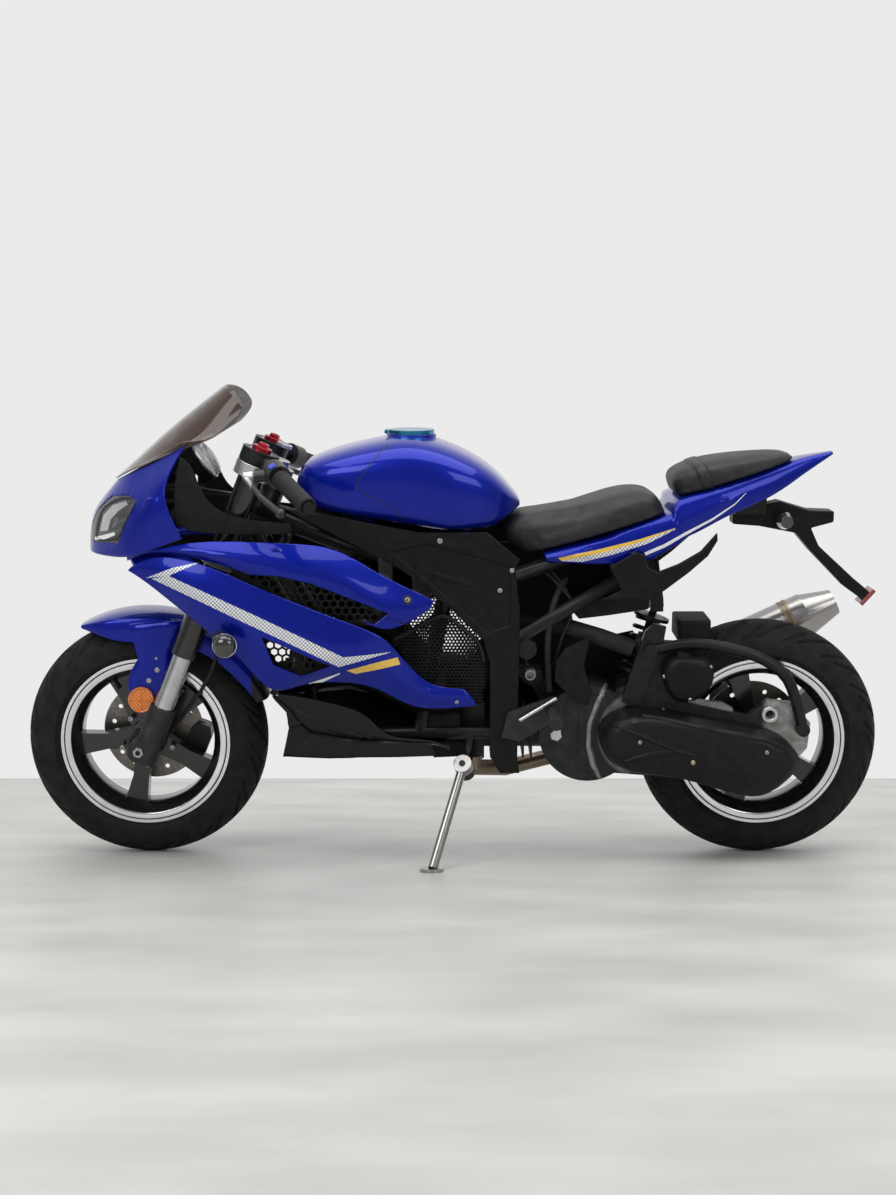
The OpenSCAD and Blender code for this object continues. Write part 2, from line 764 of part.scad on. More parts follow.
module filler_cap() {
  color("#1583a8") lean() {
    translate([cap_x, 0, cap_seat + seat_gap]) cylinder(d = cap_d, h = cap_t);
    translate([cap_x, 0, cap_seat - plug_t]) cylinder(d = neck_d - 2 * plug_gap, h = plug_t + cap_t / 2);
    cross_bar(hinge_x, cap_seat + seat_gap + hinge_d / 2, cap_d / 6, hinge_d);
    translate([hinge_x, -cap_d / 6, cap_seat + seat_gap + hinge_d / 4])
      cube([hinge_d * 2, cap_d / 3, hinge_d / 2]);
  }
}

// Nose: rows from the middle round to the cheek; lower edge, middle and upper edge of each row
nose_shares = [
  [[0.01, 0, 0.03], [0.06, 0, 0.36], [0.29, 0, 0.64]],
  [[0.08, -0.26, 0.01], [0.15, -0.3, 0.37], [0.33, -0.25, 0.66]],
  [[0.29, -0.54, 0.01], [0.36, -0.6, 0.4], [0.46, -0.44, 0.73]],
  [[0.5, -0.78, 0.04], [0.55, -0.8, 0.45], [0.69, -0.58, 0.83]],
  [[0.75, -0.92, 0.13], [0.72, -0.92, 0.52], [0.86, -0.66, 0.92]],
  [[1, -1, 0.22], [0.84, -0.95, 0.62], [1, -0.7, 1]]];
lamp_shares = [[0.03, 0.1], [0.38, 0.14], [0.58, 0.52], [0.5, 0.56], [0.3, 0.53], [0.14, 0.4], [0.06, 0.22]];
lamp_y = 22;
nose_size = [nose_len, nose_w / 2, nose_h];
nose_mark = panel_grid(nose_shares, [nose_x, 0, nose_z], nose_size, 3, 3)[12][3];
nose_boss = 130;

module nose_shell(t) {
  skin(wrap_grid(nose_shares, [nose_x, 0, nose_z], nose_size, 3, 3), t);
}

// A boss on the inside of a left panel, from the plane at y to the panel's point
module panel_boss(p, y) {
  translate([p.x, -y, p.z]) rotate([90, 0, 0]) cylinder(d = stay_d, h = -p.y - y - wall / 2);
}

module lamp_cut() {
  both_sides() side_plate(outline(lamp_shares, [nose_x, nose_z], [nose_len, nose_h]), -nose_w, -lamp_y);
}

module nose_fairing() {
  color("#1a2fb5") lean() {
    difference() {
      nose_shell(wall);
      lamp_cut();
    }
    both_sides() panel_boss(nose_mark, nose_boss);
  }
}

module headlamps() {
  color("#d8dde2") lean()
    intersection() {
      nose_shell(wall * 3);
      lamp_cut();
    }
}

// Screen: middle and upper edge of each row, whose lower edge lies on the nose's upper edge
screen_shares = [
  [[0.42, 0, 0.55], [0.84, 0, 1]], [[0.46, -0.38, 0.54], [0.87, -0.3, 0.99]],
  [[0.55, -0.68, 0.52], [0.93, -0.5, 0.95]], [[0.67, -0.87, 0.49], [0.98, -0.63, 0.87]],
  [[0.77, -0.96, 0.48], [1, -0.73, 0.76]], [[0.76, -1.04, 0.49], [0.9, -0.95, 0.59]]];
screen_t = 3;
screen_lap = behind(wrap_grid(nose_shares, [nose_x, 0, nose_z], nose_size, 3, 3), -screen_t - seat_gap);
screen_rows = [for (i = [0:5]) concat(
  [screen_lap[15 + 3 * i][6] + [0, 0, screen_t * (i + 2) / 4]],
  place(screen_shares[i], [screen_x, 0, screen_z], [screen_len, screen_w / 2, screen_h]))];

module windscreen() {
  color("#5a4034", 0.7) lean() skin(wrap_grid(screen_rows, [0, 0, 0], [1, 1, 1], 3, 3), screen_t);
}

// Black inner panels beside the instruments: rows to the rear; lower edge, middle, upper edge
cockpit_len = 215;
cockpit_h = 160;
cockpit_y = 146;
cockpit_x = 88;
cockpit_z = 664;
cockpit_shares = [
  [[0, 0.1, 0.12], [0, 0.08, 0.5], [0.06, -0.02, 0.9]],
  [[0.1, 0.08, 0.06], [0.1, 0.05, 0.4], [0.16, -0.05, 0.78]],
  [[0.22, 0.05, 0.02], [0.22, 0.02, 0.2], [0.26, -0.05, 0.42]],
  [[0.5, 0.02, 0], [0.5, 0, 0.1], [0.5, -0.08, 0.2]],
  [[1, 0, 0], [1, 0, 0.06], [1, -0.05, 0.12]]];
cockpit_grid = panel_grid(
  cockpit_shares, [cockpit_x, -cockpit_y, cockpit_z], [cockpit_len, -cockpit_y / 4, cockpit_h], 2, 3);
cockpit_mark = cockpit_grid[1][2];
cockpit_boss = 128;

module cockpit_panels() {
  color("#1a1b1d") lean() both_sides() {
    skin(cockpit_grid, wall);
    panel_boss(cockpit_mark, cockpit_boss);
  }
}

// Instrument, tilted towards the rider
gauge_at = [105, 0, 775];
gauge_deg = 55;
gauge_d = 80;
gauge_t = 24;
gauge_stem = 16;

module at_gauge() { lean() translate(gauge_at) rotate([0, gauge_deg, 0]) children(); }

module instrument() {
  color("#15161a") at_gauge() cylinder(d = gauge_d, h = gauge_t);
}

// Side panels: rows from the beak to the tail; lower edge, middle and upper edge
side_shares = [
  [[0, -0.68, 0.9], [0.005, -0.68, 0.91], [0.012, -0.68, 0.925]],
  [[0.06, -0.74, 0.82], [0.08, -0.8, 0.91], [0.1, -0.79, 1]],
  [[0.17, -0.81, 0.63], [0.2, -0.94, 0.79], [0.235, -0.9, 0.955]],
  [[0.31, -0.85, 0.37], [0.36, -0.99, 0.58], [0.4, -0.94, 0.8]],
  [[0.41, -0.82, 0.13], [0.49, -1, 0.4], [0.56, -0.94, 0.655]],
  [[0.53, -0.81, 0.18], [0.62, -0.98, 0.35], [0.72, -0.92, 0.51]],
  [[0.69, -0.8, 0.16], [0.735, -0.89, 0.27], [0.78, -0.84, 0.365]],
  [[0.83, -0.75, 0.0], [0.845, -0.8, 0.09], [0.86, -0.77, 0.17]],
  [[1, -0.7, 0.01], [0.985, -0.715, 0.065], [0.965, -0.71, 0.12]]];
side_grid = panel_grid(side_shares, [side_x, 0, side_z], [side_len, side_w / 2, side_h], 3, 4);
side_marks = [side_grid[12][5], side_grid[21][5]];
side_boss = 132;
low_vent_shares = [[0.39, 0.51], [0.585, 0.315], [0.5, 0.24], [0.42, 0.32]];

// Place of the front indicators on the panels
blinker_mark = side_grid[8][1];
blinker_y = 196;
blinker_d = 20;

module side_fairings() {
  color("#1a2fb5") lean() both_sides() {
    difference() {
      skin(side_grid, wall);
      side_plate(outline(low_vent_shares, [side_x, side_z], [side_len, side_h]), -side_w, -side_w / 4);
    }
    for (p = side_marks) panel_boss(p, side_boss);
    translate([blinker_mark.x, -blinker_y, blinker_mark.z])
      rotate([-90, 0, 0]) cylinder(d = blinker_d, h = blinker_y + blinker_mark.y + wall / 2);
  }
}

// Upper blades: rows from the nose to the tip; lower edge, middle and upper edge
wing_len = 600;
wing_h = 150;
wing_x = -12;
wing_z = 520;
wing_shares = [
  [[0.0, -0.5, 0.58], [0.0, -0.52, 0.62], [0.0, -0.54, 0.67]],
  [[0.1, -0.72, 0.73], [0.1, -0.74, 0.755], [0.1, -0.74, 0.78]],
  [[0.3, -0.88, 0.64], [0.28, -0.92, 0.77], [0.26, -0.84, 0.9]],
  [[0.5, -0.93, 0.35], [0.49, -0.96, 0.62], [0.48, -0.82, 0.88]],
  [[0.66, -0.93, 0.14], [0.67, -0.95, 0.47], [0.66, -0.8, 0.8]],
  [[0.82, -0.91, -0.2], [0.84, -0.91, 0.1], [0.82, -0.82, 0.45]],
  [[0.96, -0.84, 0.06], [0.965, -0.84, 0.11], [0.97, -0.83, 0.16]]];
vent_shares = [[0.36, 0.5], [0.49, 0.5], [0.595, 0.4], [0.83, 0.02], [0.785, -0.12], [0.62, 0.1]];
wing_grid = panel_grid(wing_shares, [wing_x, 0, wing_z], [wing_len, side_w / 2, wing_h], 3, 4);
wing_mark = wing_grid[9][6];
wing_boss = 132;

module fairing_wings() {
  color("#1a2fb5") lean() both_sides() {
    difference() {
      skin(wing_grid, wall);
      side_plate(outline(vent_shares, [wing_x, wing_z], [wing_len, wing_h]), -side_w, -side_w / 4);
    }
    panel_boss(wing_mark, wing_boss);
  }
}

// Honeycomb sheets behind the vents, held by the panels' bosses
mesh_y = 174;
mesh_t = 2;
mesh_pitch = 15;
mesh_hole = 13;
mesh_shares = [
  [0.305, 0.928], [0.443, 0.928], [0.544, 0.873], [0.762, 0.668], [0.724, 0.551], [0.617, 0.572],
  [0.598, 0.312],
  [0.502, 0.209], [0.406, 0.298], [0.376, 0.524], [0.464, 0.692], [0.305, 0.88]];

module vent_grilles() {
  edge = outline(mesh_shares, [side_x, side_z], [side_len, side_h]);
  boss = [side_marks[0].x, side_marks[0].z];
  color("#111214") lean() both_sides()
    side_sheet(-mesh_y - mesh_t, -mesh_y)
      difference() {
        polygon(edge);
        translate(boss) circle(d = stay_d + 2 * seat_gap);
        hole_rows(edge, mesh_pitch, mesh_hole, 6, [boss]);
      }
}

// Belly pan: place along, upper edge, lower edge, half width above, half width below
belly_shares = [
  [0, 0.93, 0.9, 0.96, 0.9], [0.1, 0.9, 0.5, 1, 0.7], [0.2, 0.86, 0.1, 1, 0.55], [0.5, 0.66, 0.0, 1, 0.5],
  [0.65, 0.3, 0.02, 1, 0.5], [0.9, 0.21, 0.03, 0.98, 0.5], [1, 0.08, 0.04, 0.96, 0.5]];
belly_rings = [for (r = smooth(belly_shares, 3))
  let (x = belly_x + r[0] * belly_len, zt = belly_z + r[1] * belly_h, zl = belly_z + r[2] * belly_h,
    yt = r[3] * belly_w / 2, yl = r[4] * belly_w / 2)
  [[x, yt, zt], [x, lerp(yt, yl, 0.3), lerp(zt, zl, 0.55)], [x, yl, zl + wall], [x, yl * 0.5, zl], [x, 0, zl],
  [x, -yl * 0.5, zl], [x, -yl, zl + wall], [x, -lerp(yt, yl, 0.3), lerp(zt, zl, 0.55)], [x, -yt, zt]]];
belly_marks = [belly_rings[5][7], belly_rings[9][7]];
belly_boss = 100;

module belly_pan() {
  color("#2e3033") lean() {
    skin(belly_rings, wall);
    both_sides() for (p = belly_marks) panel_boss(p, belly_boss);
  }
}

// Perforated guards just inside the frame covers, flat plates at the frame's sides
guard_len = 190;
guard_h = 180;
guard_t = 3;
guard_x_share = 0.55;
guard_z_share = 0.21;
guard_shares = [
  [0.01, 0.72], [0.5, 1], [0.77, 0.84], [0.92, 0.68], [0.98, 0.48], [0.93, 0.02], [0.4, 0.2], [0.08, 0.62]];
guard_hole = 9;
guard_pitch = 16;

module perforated_guards() {
  corner = [frame_x + guard_x_share * frame_len, frame_z + guard_z_share * frame_h];
  edge = outline(guard_shares, corner, [guard_len, guard_h]);
  bars = concat(cover_stays, [for (p = side_marks) [p.x, p.z]]);
  color("#131416") lean() both_sides()
    side_sheet(-cover_y, -cover_y + guard_t)
      difference() {
        polygon(edge);
        for (p = bars) translate(p) circle(d = stay_d + 2 * seat_gap);
        hole_rows(edge, guard_pitch, guard_hole, 24, bars);
      }
}

// Frame covers: how far they start behind the frame's front and reach beyond its rear
spar_start = 72;
spar_reach = 30;
spar_h = 520;
spar_z = 196;
spar_x = frame_x + spar_start;
spar_len = frame_len - spar_start + spar_reach;
spar_shares = [
  [0, 0.99], [0.08, 0.98], [0.57, 0.9], [0.85, 0.9], [0.88, 0.88], [0.99, 0.8], [0.97, 0.77], [0.99, 0.62],
  [0.99, 0.54], [0.985, 0.06], [0.995, 0], [0.91, 0], [0.87, 0.06], [0.865, 0.42], [0.84, 0.5], [0.7, 0.62],
  [0.5, 0.76]];
// A shallow panel pressed into each cover, and a rib on it
press = 3;
press_shares = [[0.45, 0.83], [0.6, 0.86], [0.95, 0.78], [0.95, 0.56], [0.86, 0.53], [0.66, 0.68]];
press_rib_shares = [[0.62, 0.74], [0.78, 0.7], [0.79, 0.715], [0.63, 0.755]];

module frame_covers() {
  face = -cover_y - cover_t;
  color("#1f2022") lean() both_sides()
    difference() {
      side_plate(outline(spar_shares, [spar_x, spar_z], [spar_len, spar_h]), face, -cover_y);
      difference() {
        side_plate(outline(press_shares, [spar_x, spar_z], [spar_len, spar_h]), face - over, face + press);
        side_plate(
          outline(press_rib_shares, [spar_x, spar_z], [spar_len, spar_h]), face - 2 * over, face + 2 * press);
      }
    }
}

// Seats, in the tail's frame: place along, low, high, half width, widest level
seat_shares = [
  [0, 0.62, 0.72, 0.3, 0.5], [0.06, 0.32, 0.85, 0.55, 0.5], [0.15, 0.06, 0.94, 0.72, 0.5],
  [0.28, 0, 0.86, 0.86, 0.45], [0.5, 0, 0.74, 0.98, 0.4], [0.72, 0, 0.74, 1, 0.4],
  [0.9, 0, 0.68, 0.92, 0.4], [0.97, 0, 0.52, 0.78, 0.4],
  [1, 0.02, 0.3, 0.6, 0.4]];
seat_x = -70;
seat_round_share = 0.6;
seat_flat_share = 0.35;

module rider_seat() {
  color("#17181a") tail_frame()
    loft([for (r = smooth(seat_shares, 2)) oval(seat_x + r[0] * seat_len, max(r[1], 0) * seat_h, r[2] * seat_h,
      r[3] * seat_w / 2, r[4], seat_round_share, seat_flat_share, 24)]);
}

pillion_shares = [
  [0, 0.2, 0.7, 0.6, 0.4], [0.06, 0, 0.92, 0.82, 0.4], [0.25, 0, 1, 1, 0.4], [0.5, 0, 0.86, 0.94, 0.4],
  [0.75, 0, 0.62, 0.78, 0.4], [0.94, 0, 0.42, 0.52, 0.4], [1, 0.05, 0.28, 0.34, 0.4]];
pillion_x = 284;
deck_z = 22;

module pillion_seat() {
  color("#17181a") tail_frame()
    loft([for (r = smooth(pillion_shares, 2)) let (low = deck_z + seat_gap)
      oval(pillion_x + r[0] * pillion_len, low + max(r[1], 0) * pillion_h, low + r[2] * pillion_h,
        r[3] * pillion_w / 2, r[4], seat_round_share, seat_flat_share, 24)]);
}

// Tail cowl: place along, deck height, lower edge below the deck, half width, half width of the deck
cowl_x = 14;
cowl_shares = [
  [0, 0, 0.2, 0.86, 0.7], [0.14, 0, 0.5, 0.98, 0.8], [0.3, 0, 0.77, 1, 0.86], [0.415, 0, 0.62, 1, 0.86],
  [0.46, 1, 0.76, 0.96, 0.8], [0.6, 1, 0.62, 0.84, 0.7], [0.75, 1, 0.54, 0.62, 0.5],
  [0.88, 1, 0.34, 0.36, 0.26],
  [1, 0.6, 0.06, 0.1, 0.05]];

cowl_rings = [for (r = smooth(cowl_shares, 4))
  let (x = cowl_x + r[0] * cowl_len, zt = min(max(r[1], 0), 1) * deck_z - seat_gap, zl = zt - r[2] * cowl_h,
    yl = r[3] * cowl_w / 2, yt = r[4] * cowl_w / 2)
  [[x, -yl * 0.94, zl], [x, -yl, lerp(zl, zt, 0.5)], [x, -lerp(yl, yt, 0.4), lerp(zl, zt, 0.85)], [x, -yt, zt],
  [x, 0, zt], [x, yt, zt], [x, lerp(yl, yt, 0.4), lerp(zl, zt, 0.85)], [x, yl, lerp(zl, zt, 0.5)],
  [x, yl * 0.94, zl]]];
cowl_marks = [cowl_rings[4][1], cowl_rings[20][1]];
cowl_boss = 88;

module tail_cowl() {
  color("#1a2fb5") tail_frame() {
    skin(cowl_rings, wall);
    both_sides() for (p = cowl_marks) panel_boss(p, cowl_boss);
  }
}

// Lamp under the tail, in the tail's frame, and the reflector on the end of the plate hanger
reflector_lap = 9;
lamp_len = 72;
lamp_w = 56;
lamp_h = 34;
lamp_x = 448;
lamp_h_shares = [[0, 0], [0.75, 0.25], [1, 0.6], [1, 1], [0, 1]];

module tail_lamp() {
  top = deck_z - 2 * seat_gap - wall;
  end = outline([hanger_shares[11], hanger_shares[12]], [hanger_x, hanger_z], [hanger_len, hanger_h]);
  up = unit(end[0] - end[1]);
  out = [up.y, -up.x];
  color("#b01818") {
    tail_frame()
      side_plate(outline(lamp_h_shares, [lamp_x, top - lamp_h], [lamp_len, lamp_h]), -lamp_w / 2, lamp_w / 2);
    lean()
      side_plate([end[0] + up * reflector_lap, end[1] - up * reflector_lap,
        end[1] - up * reflector_lap + out * reflector_t, end[0] + up * reflector_lap + out * reflector_t],
        -hanger_w / 2, hanger_w / 2);
  }
}

// Hanger for the number plate: outline from its root to the reflector at its end
hanger_len = 272;
hanger_h = 194;
hanger_x = 1148;
hanger_z = 516;
hanger_w = 44;
hanger_root_share = 0.885;
hanger_shares = [
  [0, 0.77], [0, hanger_root_share], [0.23, hanger_root_share], [0.24, 0.97], [0.33, 1], [0.54, 0.91],
  [0.72, 0.9], [0.72, 0.79], [0.56, 0.73], [0.62, 0.55], [0.87, 0.23], [1, 0.08], [0.95, 0],
  [0.82, 0.13], [0.56, 0.5], [0.45, 0.68], [0.19, 0.75]];
hanger_top = hanger_z + hanger_root_share * hanger_h;

module plate_hanger() {
  color("#151618") lean()
    side_plate(outline(hanger_shares, [hanger_x, hanger_z], [hanger_len, hanger_h]), -hanger_w / 2,
      hanger_w / 2);
}

// Indicators: stalk and lens, front pair on the side panels, rear pair on the plate hanger
lens_d = 34;
lens_t = 24;
stalk_d = 14;
stalk_len = 26;
rear_blinker = [1243, 676];

module indicator(stalk) {
  rotate([90, 0, 0]) {
    cylinder(d = stalk_d, h = stalk + over);
    translate([0, 0, stalk]) cylinder(d1 = lens_d, d2 = lens_d * 0.7, h = lens_t);
  }
}

module indicators() {
  color("#d8802a") lean() both_sides() {
    translate([blinker_mark.x, -blinker_y, blinker_mark.z]) indicator(stalk_len / 4);
    translate([rear_blinker[0], -hanger_w / 2, rear_blinker[1]]) indicator(stalk_len);
  }
}

// Black fins below the tail
fins_len = 216;
fins_h = 130;
fins_x = 886;
fins_z = 534;
fins_y = 120;
fins_t = 10;
fins_shares = [
  [0, 0.015], [0.17, 0.154], [0.065, 0.5], [0.29, 0.715], [0.38, 0.67], [0.39, 0.5], [0.48, 0.42],
  [0.67, 0.546],
  [0.856, 0.73], [0.995, 1], [1, 0.885], [0.92, 0.66], [0.755, 0.415], [0.556, 0.162], [0.435, 0.023]];
fins_stay_share = [0.2, 0.29];
fins_stay = outline([fins_stay_share], [fins_x, fins_z], [fins_len, fins_h])[0];

module tail_fins() {
  color("#1a1b1d") lean() both_sides()
    side_plate(outline(fins_shares, [fins_x, fins_z], [fins_len, fins_h]), -fins_y - fins_t, -fins_y);
}

// Inner covers: a tray under the tail, open below, and a shroud beside the crankcase
tray_len = 147;
tray_h = 45;
tray_w = 134;
tray_x = 837;
tray_z = 487;
tray_shares = [[0, 0.8], [0.36, 0.98], [1, 1], [1, 0.62], [0.99, 0.42], [0.48, 0.16], [0.08, 0], [0, 0.31]];
tray_hollow_shares = [[0.04, 0.68], [0.36, 0.86], [0.96, 0.88], [0.96, -0.2], [0.04, -0.2]];
tray_ear_w = 30;
tray_ear_y = 40;
shroud_len = 70;
shroud_h = 135;
shroud_x = 802;
shroud_z = 322;
shroud_shares = [
  [0, 0.35], [0.03, 0.64], [0.3, 0.84], [0.96, 1], [0.8, 0.58], [1, 0.17], [0.91, 0], [0.66, 0.02],
  [0.47, 0.1]];
shroud_t = 6;

module inner_covers() {
  ear_top = fins_stay.y - stay_d / 2 - seat_gap;
  ear_low = tray_z + tray_h - wall;
  color("#161719") lean() {
    difference() {
      side_plate(outline(tray_shares, [tray_x, tray_z], [tray_len, tray_h]), -tray_w / 2, tray_w / 2);
      side_plate(outline(tray_hollow_shares, [tray_x, tray_z], [tray_len, tray_h]),
        -tray_w / 2 + wall, tray_w / 2 - wall);
    }
    both_sides()
      translate([fins_stay.x - tray_ear_w / 2, -tray_ear_y, ear_low]) cube([tray_ear_w, wall,
        ear_top - ear_low]);
    side_plate(outline(shroud_shares, [shroud_x, shroud_z], [shroud_len, shroud_h]),
      -case_out - shroud_t, -case_out);
  }
}

// Engine

crank_z = 262;
// Inner and outer face of the half case on the left, and of the arm on the right
case_in = 66;
case_out = 85;
arm_out = 82;
// How far the half case reaches before the crankshaft and behind the axle
case_front = 18;
case_tail = 90;
case_x = crank_x - case_front;
case_len = wheelbase + case_tail - case_x;
case_h = 280;
case_z = 170;
// Depth of the crankcase's ends inside the half case's face
crank_land = 3;
case_shares = [
  [0, 0.07], [0.25, 0.04], [0.55, 0], [0.78, 0], [0.92, 0.1], [0.99, 0.23], [1, 0.41], [0.92, 0.55],
  [0.81, 0.57],
  [0.73, 0.46], [0.42, 0.57], [0.42, 0.98], [0.25, 1], [0.22, 0.62], [0, 0.6]];
arm_shares = [[0, 0.1], [0.3, 0.12], [0.8, 0.15], [0.88, 0.24], [0.8, 0.34], [0.3, 0.46], [0, 0.5]];
gear_d = 90;
barrel_d = 92;
barrel_len = 150;
fin_w = 112;
fin_t = 4;
head_len = 40;
head_w = 104;
hanger_lug = [760, 372];
lug_half = 50;
lug_d = 40;
shock_top = [1005, 505];
shock_low = [956, 344];
shock_half = 16;
ear_plate = 8;
shock_lug_shares = [[0, 0.3], [0.3, 0.9], [0.75, 1], [1, 0.75], [0.95, 0.35], [0.5, 0]];
shock_pin_share = [0.7, 0.68];
shock_lug = 62;
port_d = 36;
port_h = 12;

module engine_block() {
  barrel_x = crank_x - crank_d / 2 - barrel_len / 2;
  color("#8d8f90") lean()
    difference() {
      union() {
        cross_bar(crank_x, crank_z, crank_w / 2 - crank_land, crank_d);
        side_plate(outline(case_shares, [case_x, case_z], [case_len, case_h]), -case_out, -case_in);
        side_plate(outline(arm_shares, [case_x, case_z], [case_len, case_h]), case_in, arm_out);
        translate([wheelbase, -hub_w / 2 - over, axle_z])
          rotate([90, 0, 0]) cylinder(d = gear_d, h = case_in - hub_w / 2);
        translate([barrel_x - barrel_len / 2, 0, crank_z])
          rotate([0, 90, 0]) cylinder(d = barrel_d, h = barrel_len + crank_d / 4);
        for (i = [0:fin_count - 1])
          translate([barrel_x - barrel_len / 2 + head_len + i * (barrel_len - head_len) / fin_count,
            -fin_w / 2, crank_z - fin_w / 2])
            cube([fin_t, fin_w, fin_w]);
        translate([barrel_x - barrel_len / 2, -head_w / 2, crank_z - head_w / 2])
          cube([head_len, head_w, head_w]);
        translate([port_at.x, 0, port_at.z]) cylinder(d = port_d, h = port_h + over);
        cross_bar(hanger_lug[0], hanger_lug[1], lug_half, lug_d);
        side_plate([hanger_lug - [lug_d / 3, 0], hanger_lug + [lug_d / 3, 0], [crank_x, crank_z],
          [crank_x - crank_d / 3, crank_z]], -lug_half / 2, lug_half / 2);
        both_sides()
          side_plate(outline(shock_lug_shares, shock_low - shock_pin_share * shock_lug, [shock_lug, shock_lug]),
            -shock_half - ear_plate, -shock_half);
        cross_bar(shock_low[0], shock_low[1], shock_half + ear_plate, eye_d);
      }
      cross_bar(wheelbase, axle_z, arm_out + over, axle_d + 2 * fit);
      cross_bar(eye_at[0], eye_at[1], case_out + over, rear_eye_d);
    }
}

// Place of the exhaust port below the head
port_at = [crank_x - crank_d / 2 - barrel_len + head_len / 2, 0, crank_z - head_w / 2 - port_h];
// Bare eye at the rear of the half case
eye_back = 10;
eye_rise = 65;
eye_at = [wheelbase + eye_back, axle_z + eye_rise];
rear_eye_d = 16;

// Drive case on the left: outline clockwise, then depth and outline scale of its levels
drive_shares = [
  [0, 0.77], [0.1, 0.97], [0.3, 0.98], [0.56, 0.87], [0.86, 0.73], [0.99, 0.52], [1, 0.3], [0.87, 0.03],
  [0.72, 0],
  [0.42, 0.2], [0.12, 0.31], [0.02, 0.5]];
drive_level_shares = [[0, 1], [0.55, 1], [0.82, 0.95], [0.95, 0.88], [1, 0.76]];
drive_mid_share = [0.5, 0.52];

module drive_case() {
  loop = smooth_loop(drive_shares, 3);
  color("#1c1d1f") lean()
    loft([for (l = drive_level_shares) [for (p = loop) let (q = drive_mid_share + (p - drive_mid_share) * l[1])
      [drive_x + q.x * drive_len, -case_out - l[0] * drive_t, drive_z + q.y * drive_h]]]);
}

// Air filter case above the drive case
filter_len = 98;
filter_h = 86;
filter_t = 52;
filter_back = 204;
filter_x = wheelbase - filter_back;
filter_z = 338;
filter_shares = [[0, 0.6], [0.15, 0.95], [0.5, 1], [0.9, 0.9], [1, 0.6], [0.9, 0.25], [0.6, 0], [0.2, 0.05]];
filter_mid_share = [0.5, 0.5];
filter_level_shares = [[0, 1], [0.7, 1], [0.92, 0.9], [1, 0.75]];

module air_filter_case() {
  loop = smooth_loop(filter_shares, 3);
  color("#1b1c1e") lean()
    loft([for (l = filter_level_shares) [for (p = loop)
      let (q = filter_mid_share + (p - filter_mid_share) * l[1])
      [filter_x + q.x * filter_len, -case_out - l[0] * filter_t, filter_z + q.y * filter_h]]]);
}

// Muffler on the right, from its inlet along its own axis
muffler_deg = 25;
muffler_y = 150;
muffler_x = 1099;
muffler_z = 344;
muffler_at = [muffler_x, muffler_y, muffler_z];
tip_len = 63;
tip_d = 52;
hanger_boss = [1155, 362];
muffler_strap_shares = [[0.1, 0], [0.8, 0], [1, 1], [0.35, 1]];
strap_len = 52;
strap_h = 126;
strap_t = 8;
// How far the strap starts before the axle and above it
strap_lead = 90;
strap_rise = 13;
// Steps of the muffler's diameter at its inlet and its cone, and the wall of its tip
inlet_rim = 8;
tip_step = 2;
tip_wall = 6;

module at_muffler() { lean() translate(muffler_at) rotate([0, 90 - muffler_deg, 0]) children(); }

module muffler() {
  color("#b5b3ae") {
    at_muffler()
      difference() {
        union() {
          cylinder(d1 = pipe_d + inlet_rim, d2 = muffler_d, h = muffler_len / 8);
          translate([0, 0, muffler_len / 8]) cylinder(d = muffler_d, h = muffler_len * 7 / 8);
          translate([0, 0, muffler_len]) cylinder(d1 = muffler_d - tip_step, d2 = tip_d, h = tip_len);
        }
        translate([0, 0, muffler_len]) cylinder(d = tip_d - 2 * tip_wall, h = tip_len + over);
      }
    lean() {
      side_plate(outline(muffler_strap_shares, [wheelbase - strap_lead, axle_z + strap_rise],
        [strap_len, strap_h]), arm_out, arm_out + strap_t);
      translate([hanger_boss[0], muffler_y - muffler_d / 3, hanger_boss[1]])
        rotate([90, 0, 0]) cylinder(d = strap_t * 3, h = muffler_y - muffler_d / 3 - arm_out);
    }
  }
}

// Exhaust pipe from the port under the engine to the muffler
pipe_drop = 46;
pipe_flange = 9;
// Bends of the pipe as shares of the way to the muffler and of its drop
pipe_shares = [[0.009, 0.02, -0.61], [0.154, 0.4, -1], [0.373, 0.707, -0.74], [0.68, 0.773, 0.35]];

module exhaust_pipe() {
  axis = [cos(muffler_deg), 0, sin(muffler_deg)];
  start = port_at - [0, 0, pipe_flange / 2];
  color("#8a7a66") lean() {
    translate(port_at - [0, 0, pipe_flange]) cylinder(d = port_d + pipe_flange, h = pipe_flange);
    bent_bar(concat([start], place(pipe_shares, port_at, [muffler_x - port_at.x, muffler_y, pipe_drop]),
      [muffler_at - axis * pipe_d * 2, muffler_at]), pipe_d);
  }
}

// Inlet: stub and carburettor on the head, and the hose back to the half case's upper tab
inlet_d = 34;
carb_d = 54;
bowl_d = 40;
// Points of the hose as shares of the way from the head to the tab
inlet_len = 310;
inlet_side = 74;
inlet_rise = 156;
inlet_shares = [
  [0, 0, 0], [0, 0, 0.2], [0.06, 0, 0.48], [0.12, -0.1, 0.82], [0.31, -0.32, 1], [0.57, -0.7, 1],
  [0.8, -0.9, 0.88],
  [1, -1, 0.745]];

module intake() {
  root = [port_at.x, 0, crank_z + head_w / 2];
  path = place(inlet_shares, root, [inlet_len, inlet_side, inlet_rise]);
  bowl = lerp(path[1], path[2], 0.5);
  color("#2c2d30") lean() {
    bent_bar(path, inlet_d);
    bar(path[1], path[2], carb_d);
    translate([bowl.x, -bowl_d, bowl.z]) rotate([-90, 0, 0]) cylinder(d = bowl_d, h = bowl_d);
  }
}

// Shock absorber with its spring, from the engine's pin to the frame's pin
coil_turns = 6;
wire_d = 9;
shock_eye_d = 28;
damper_d = 30;

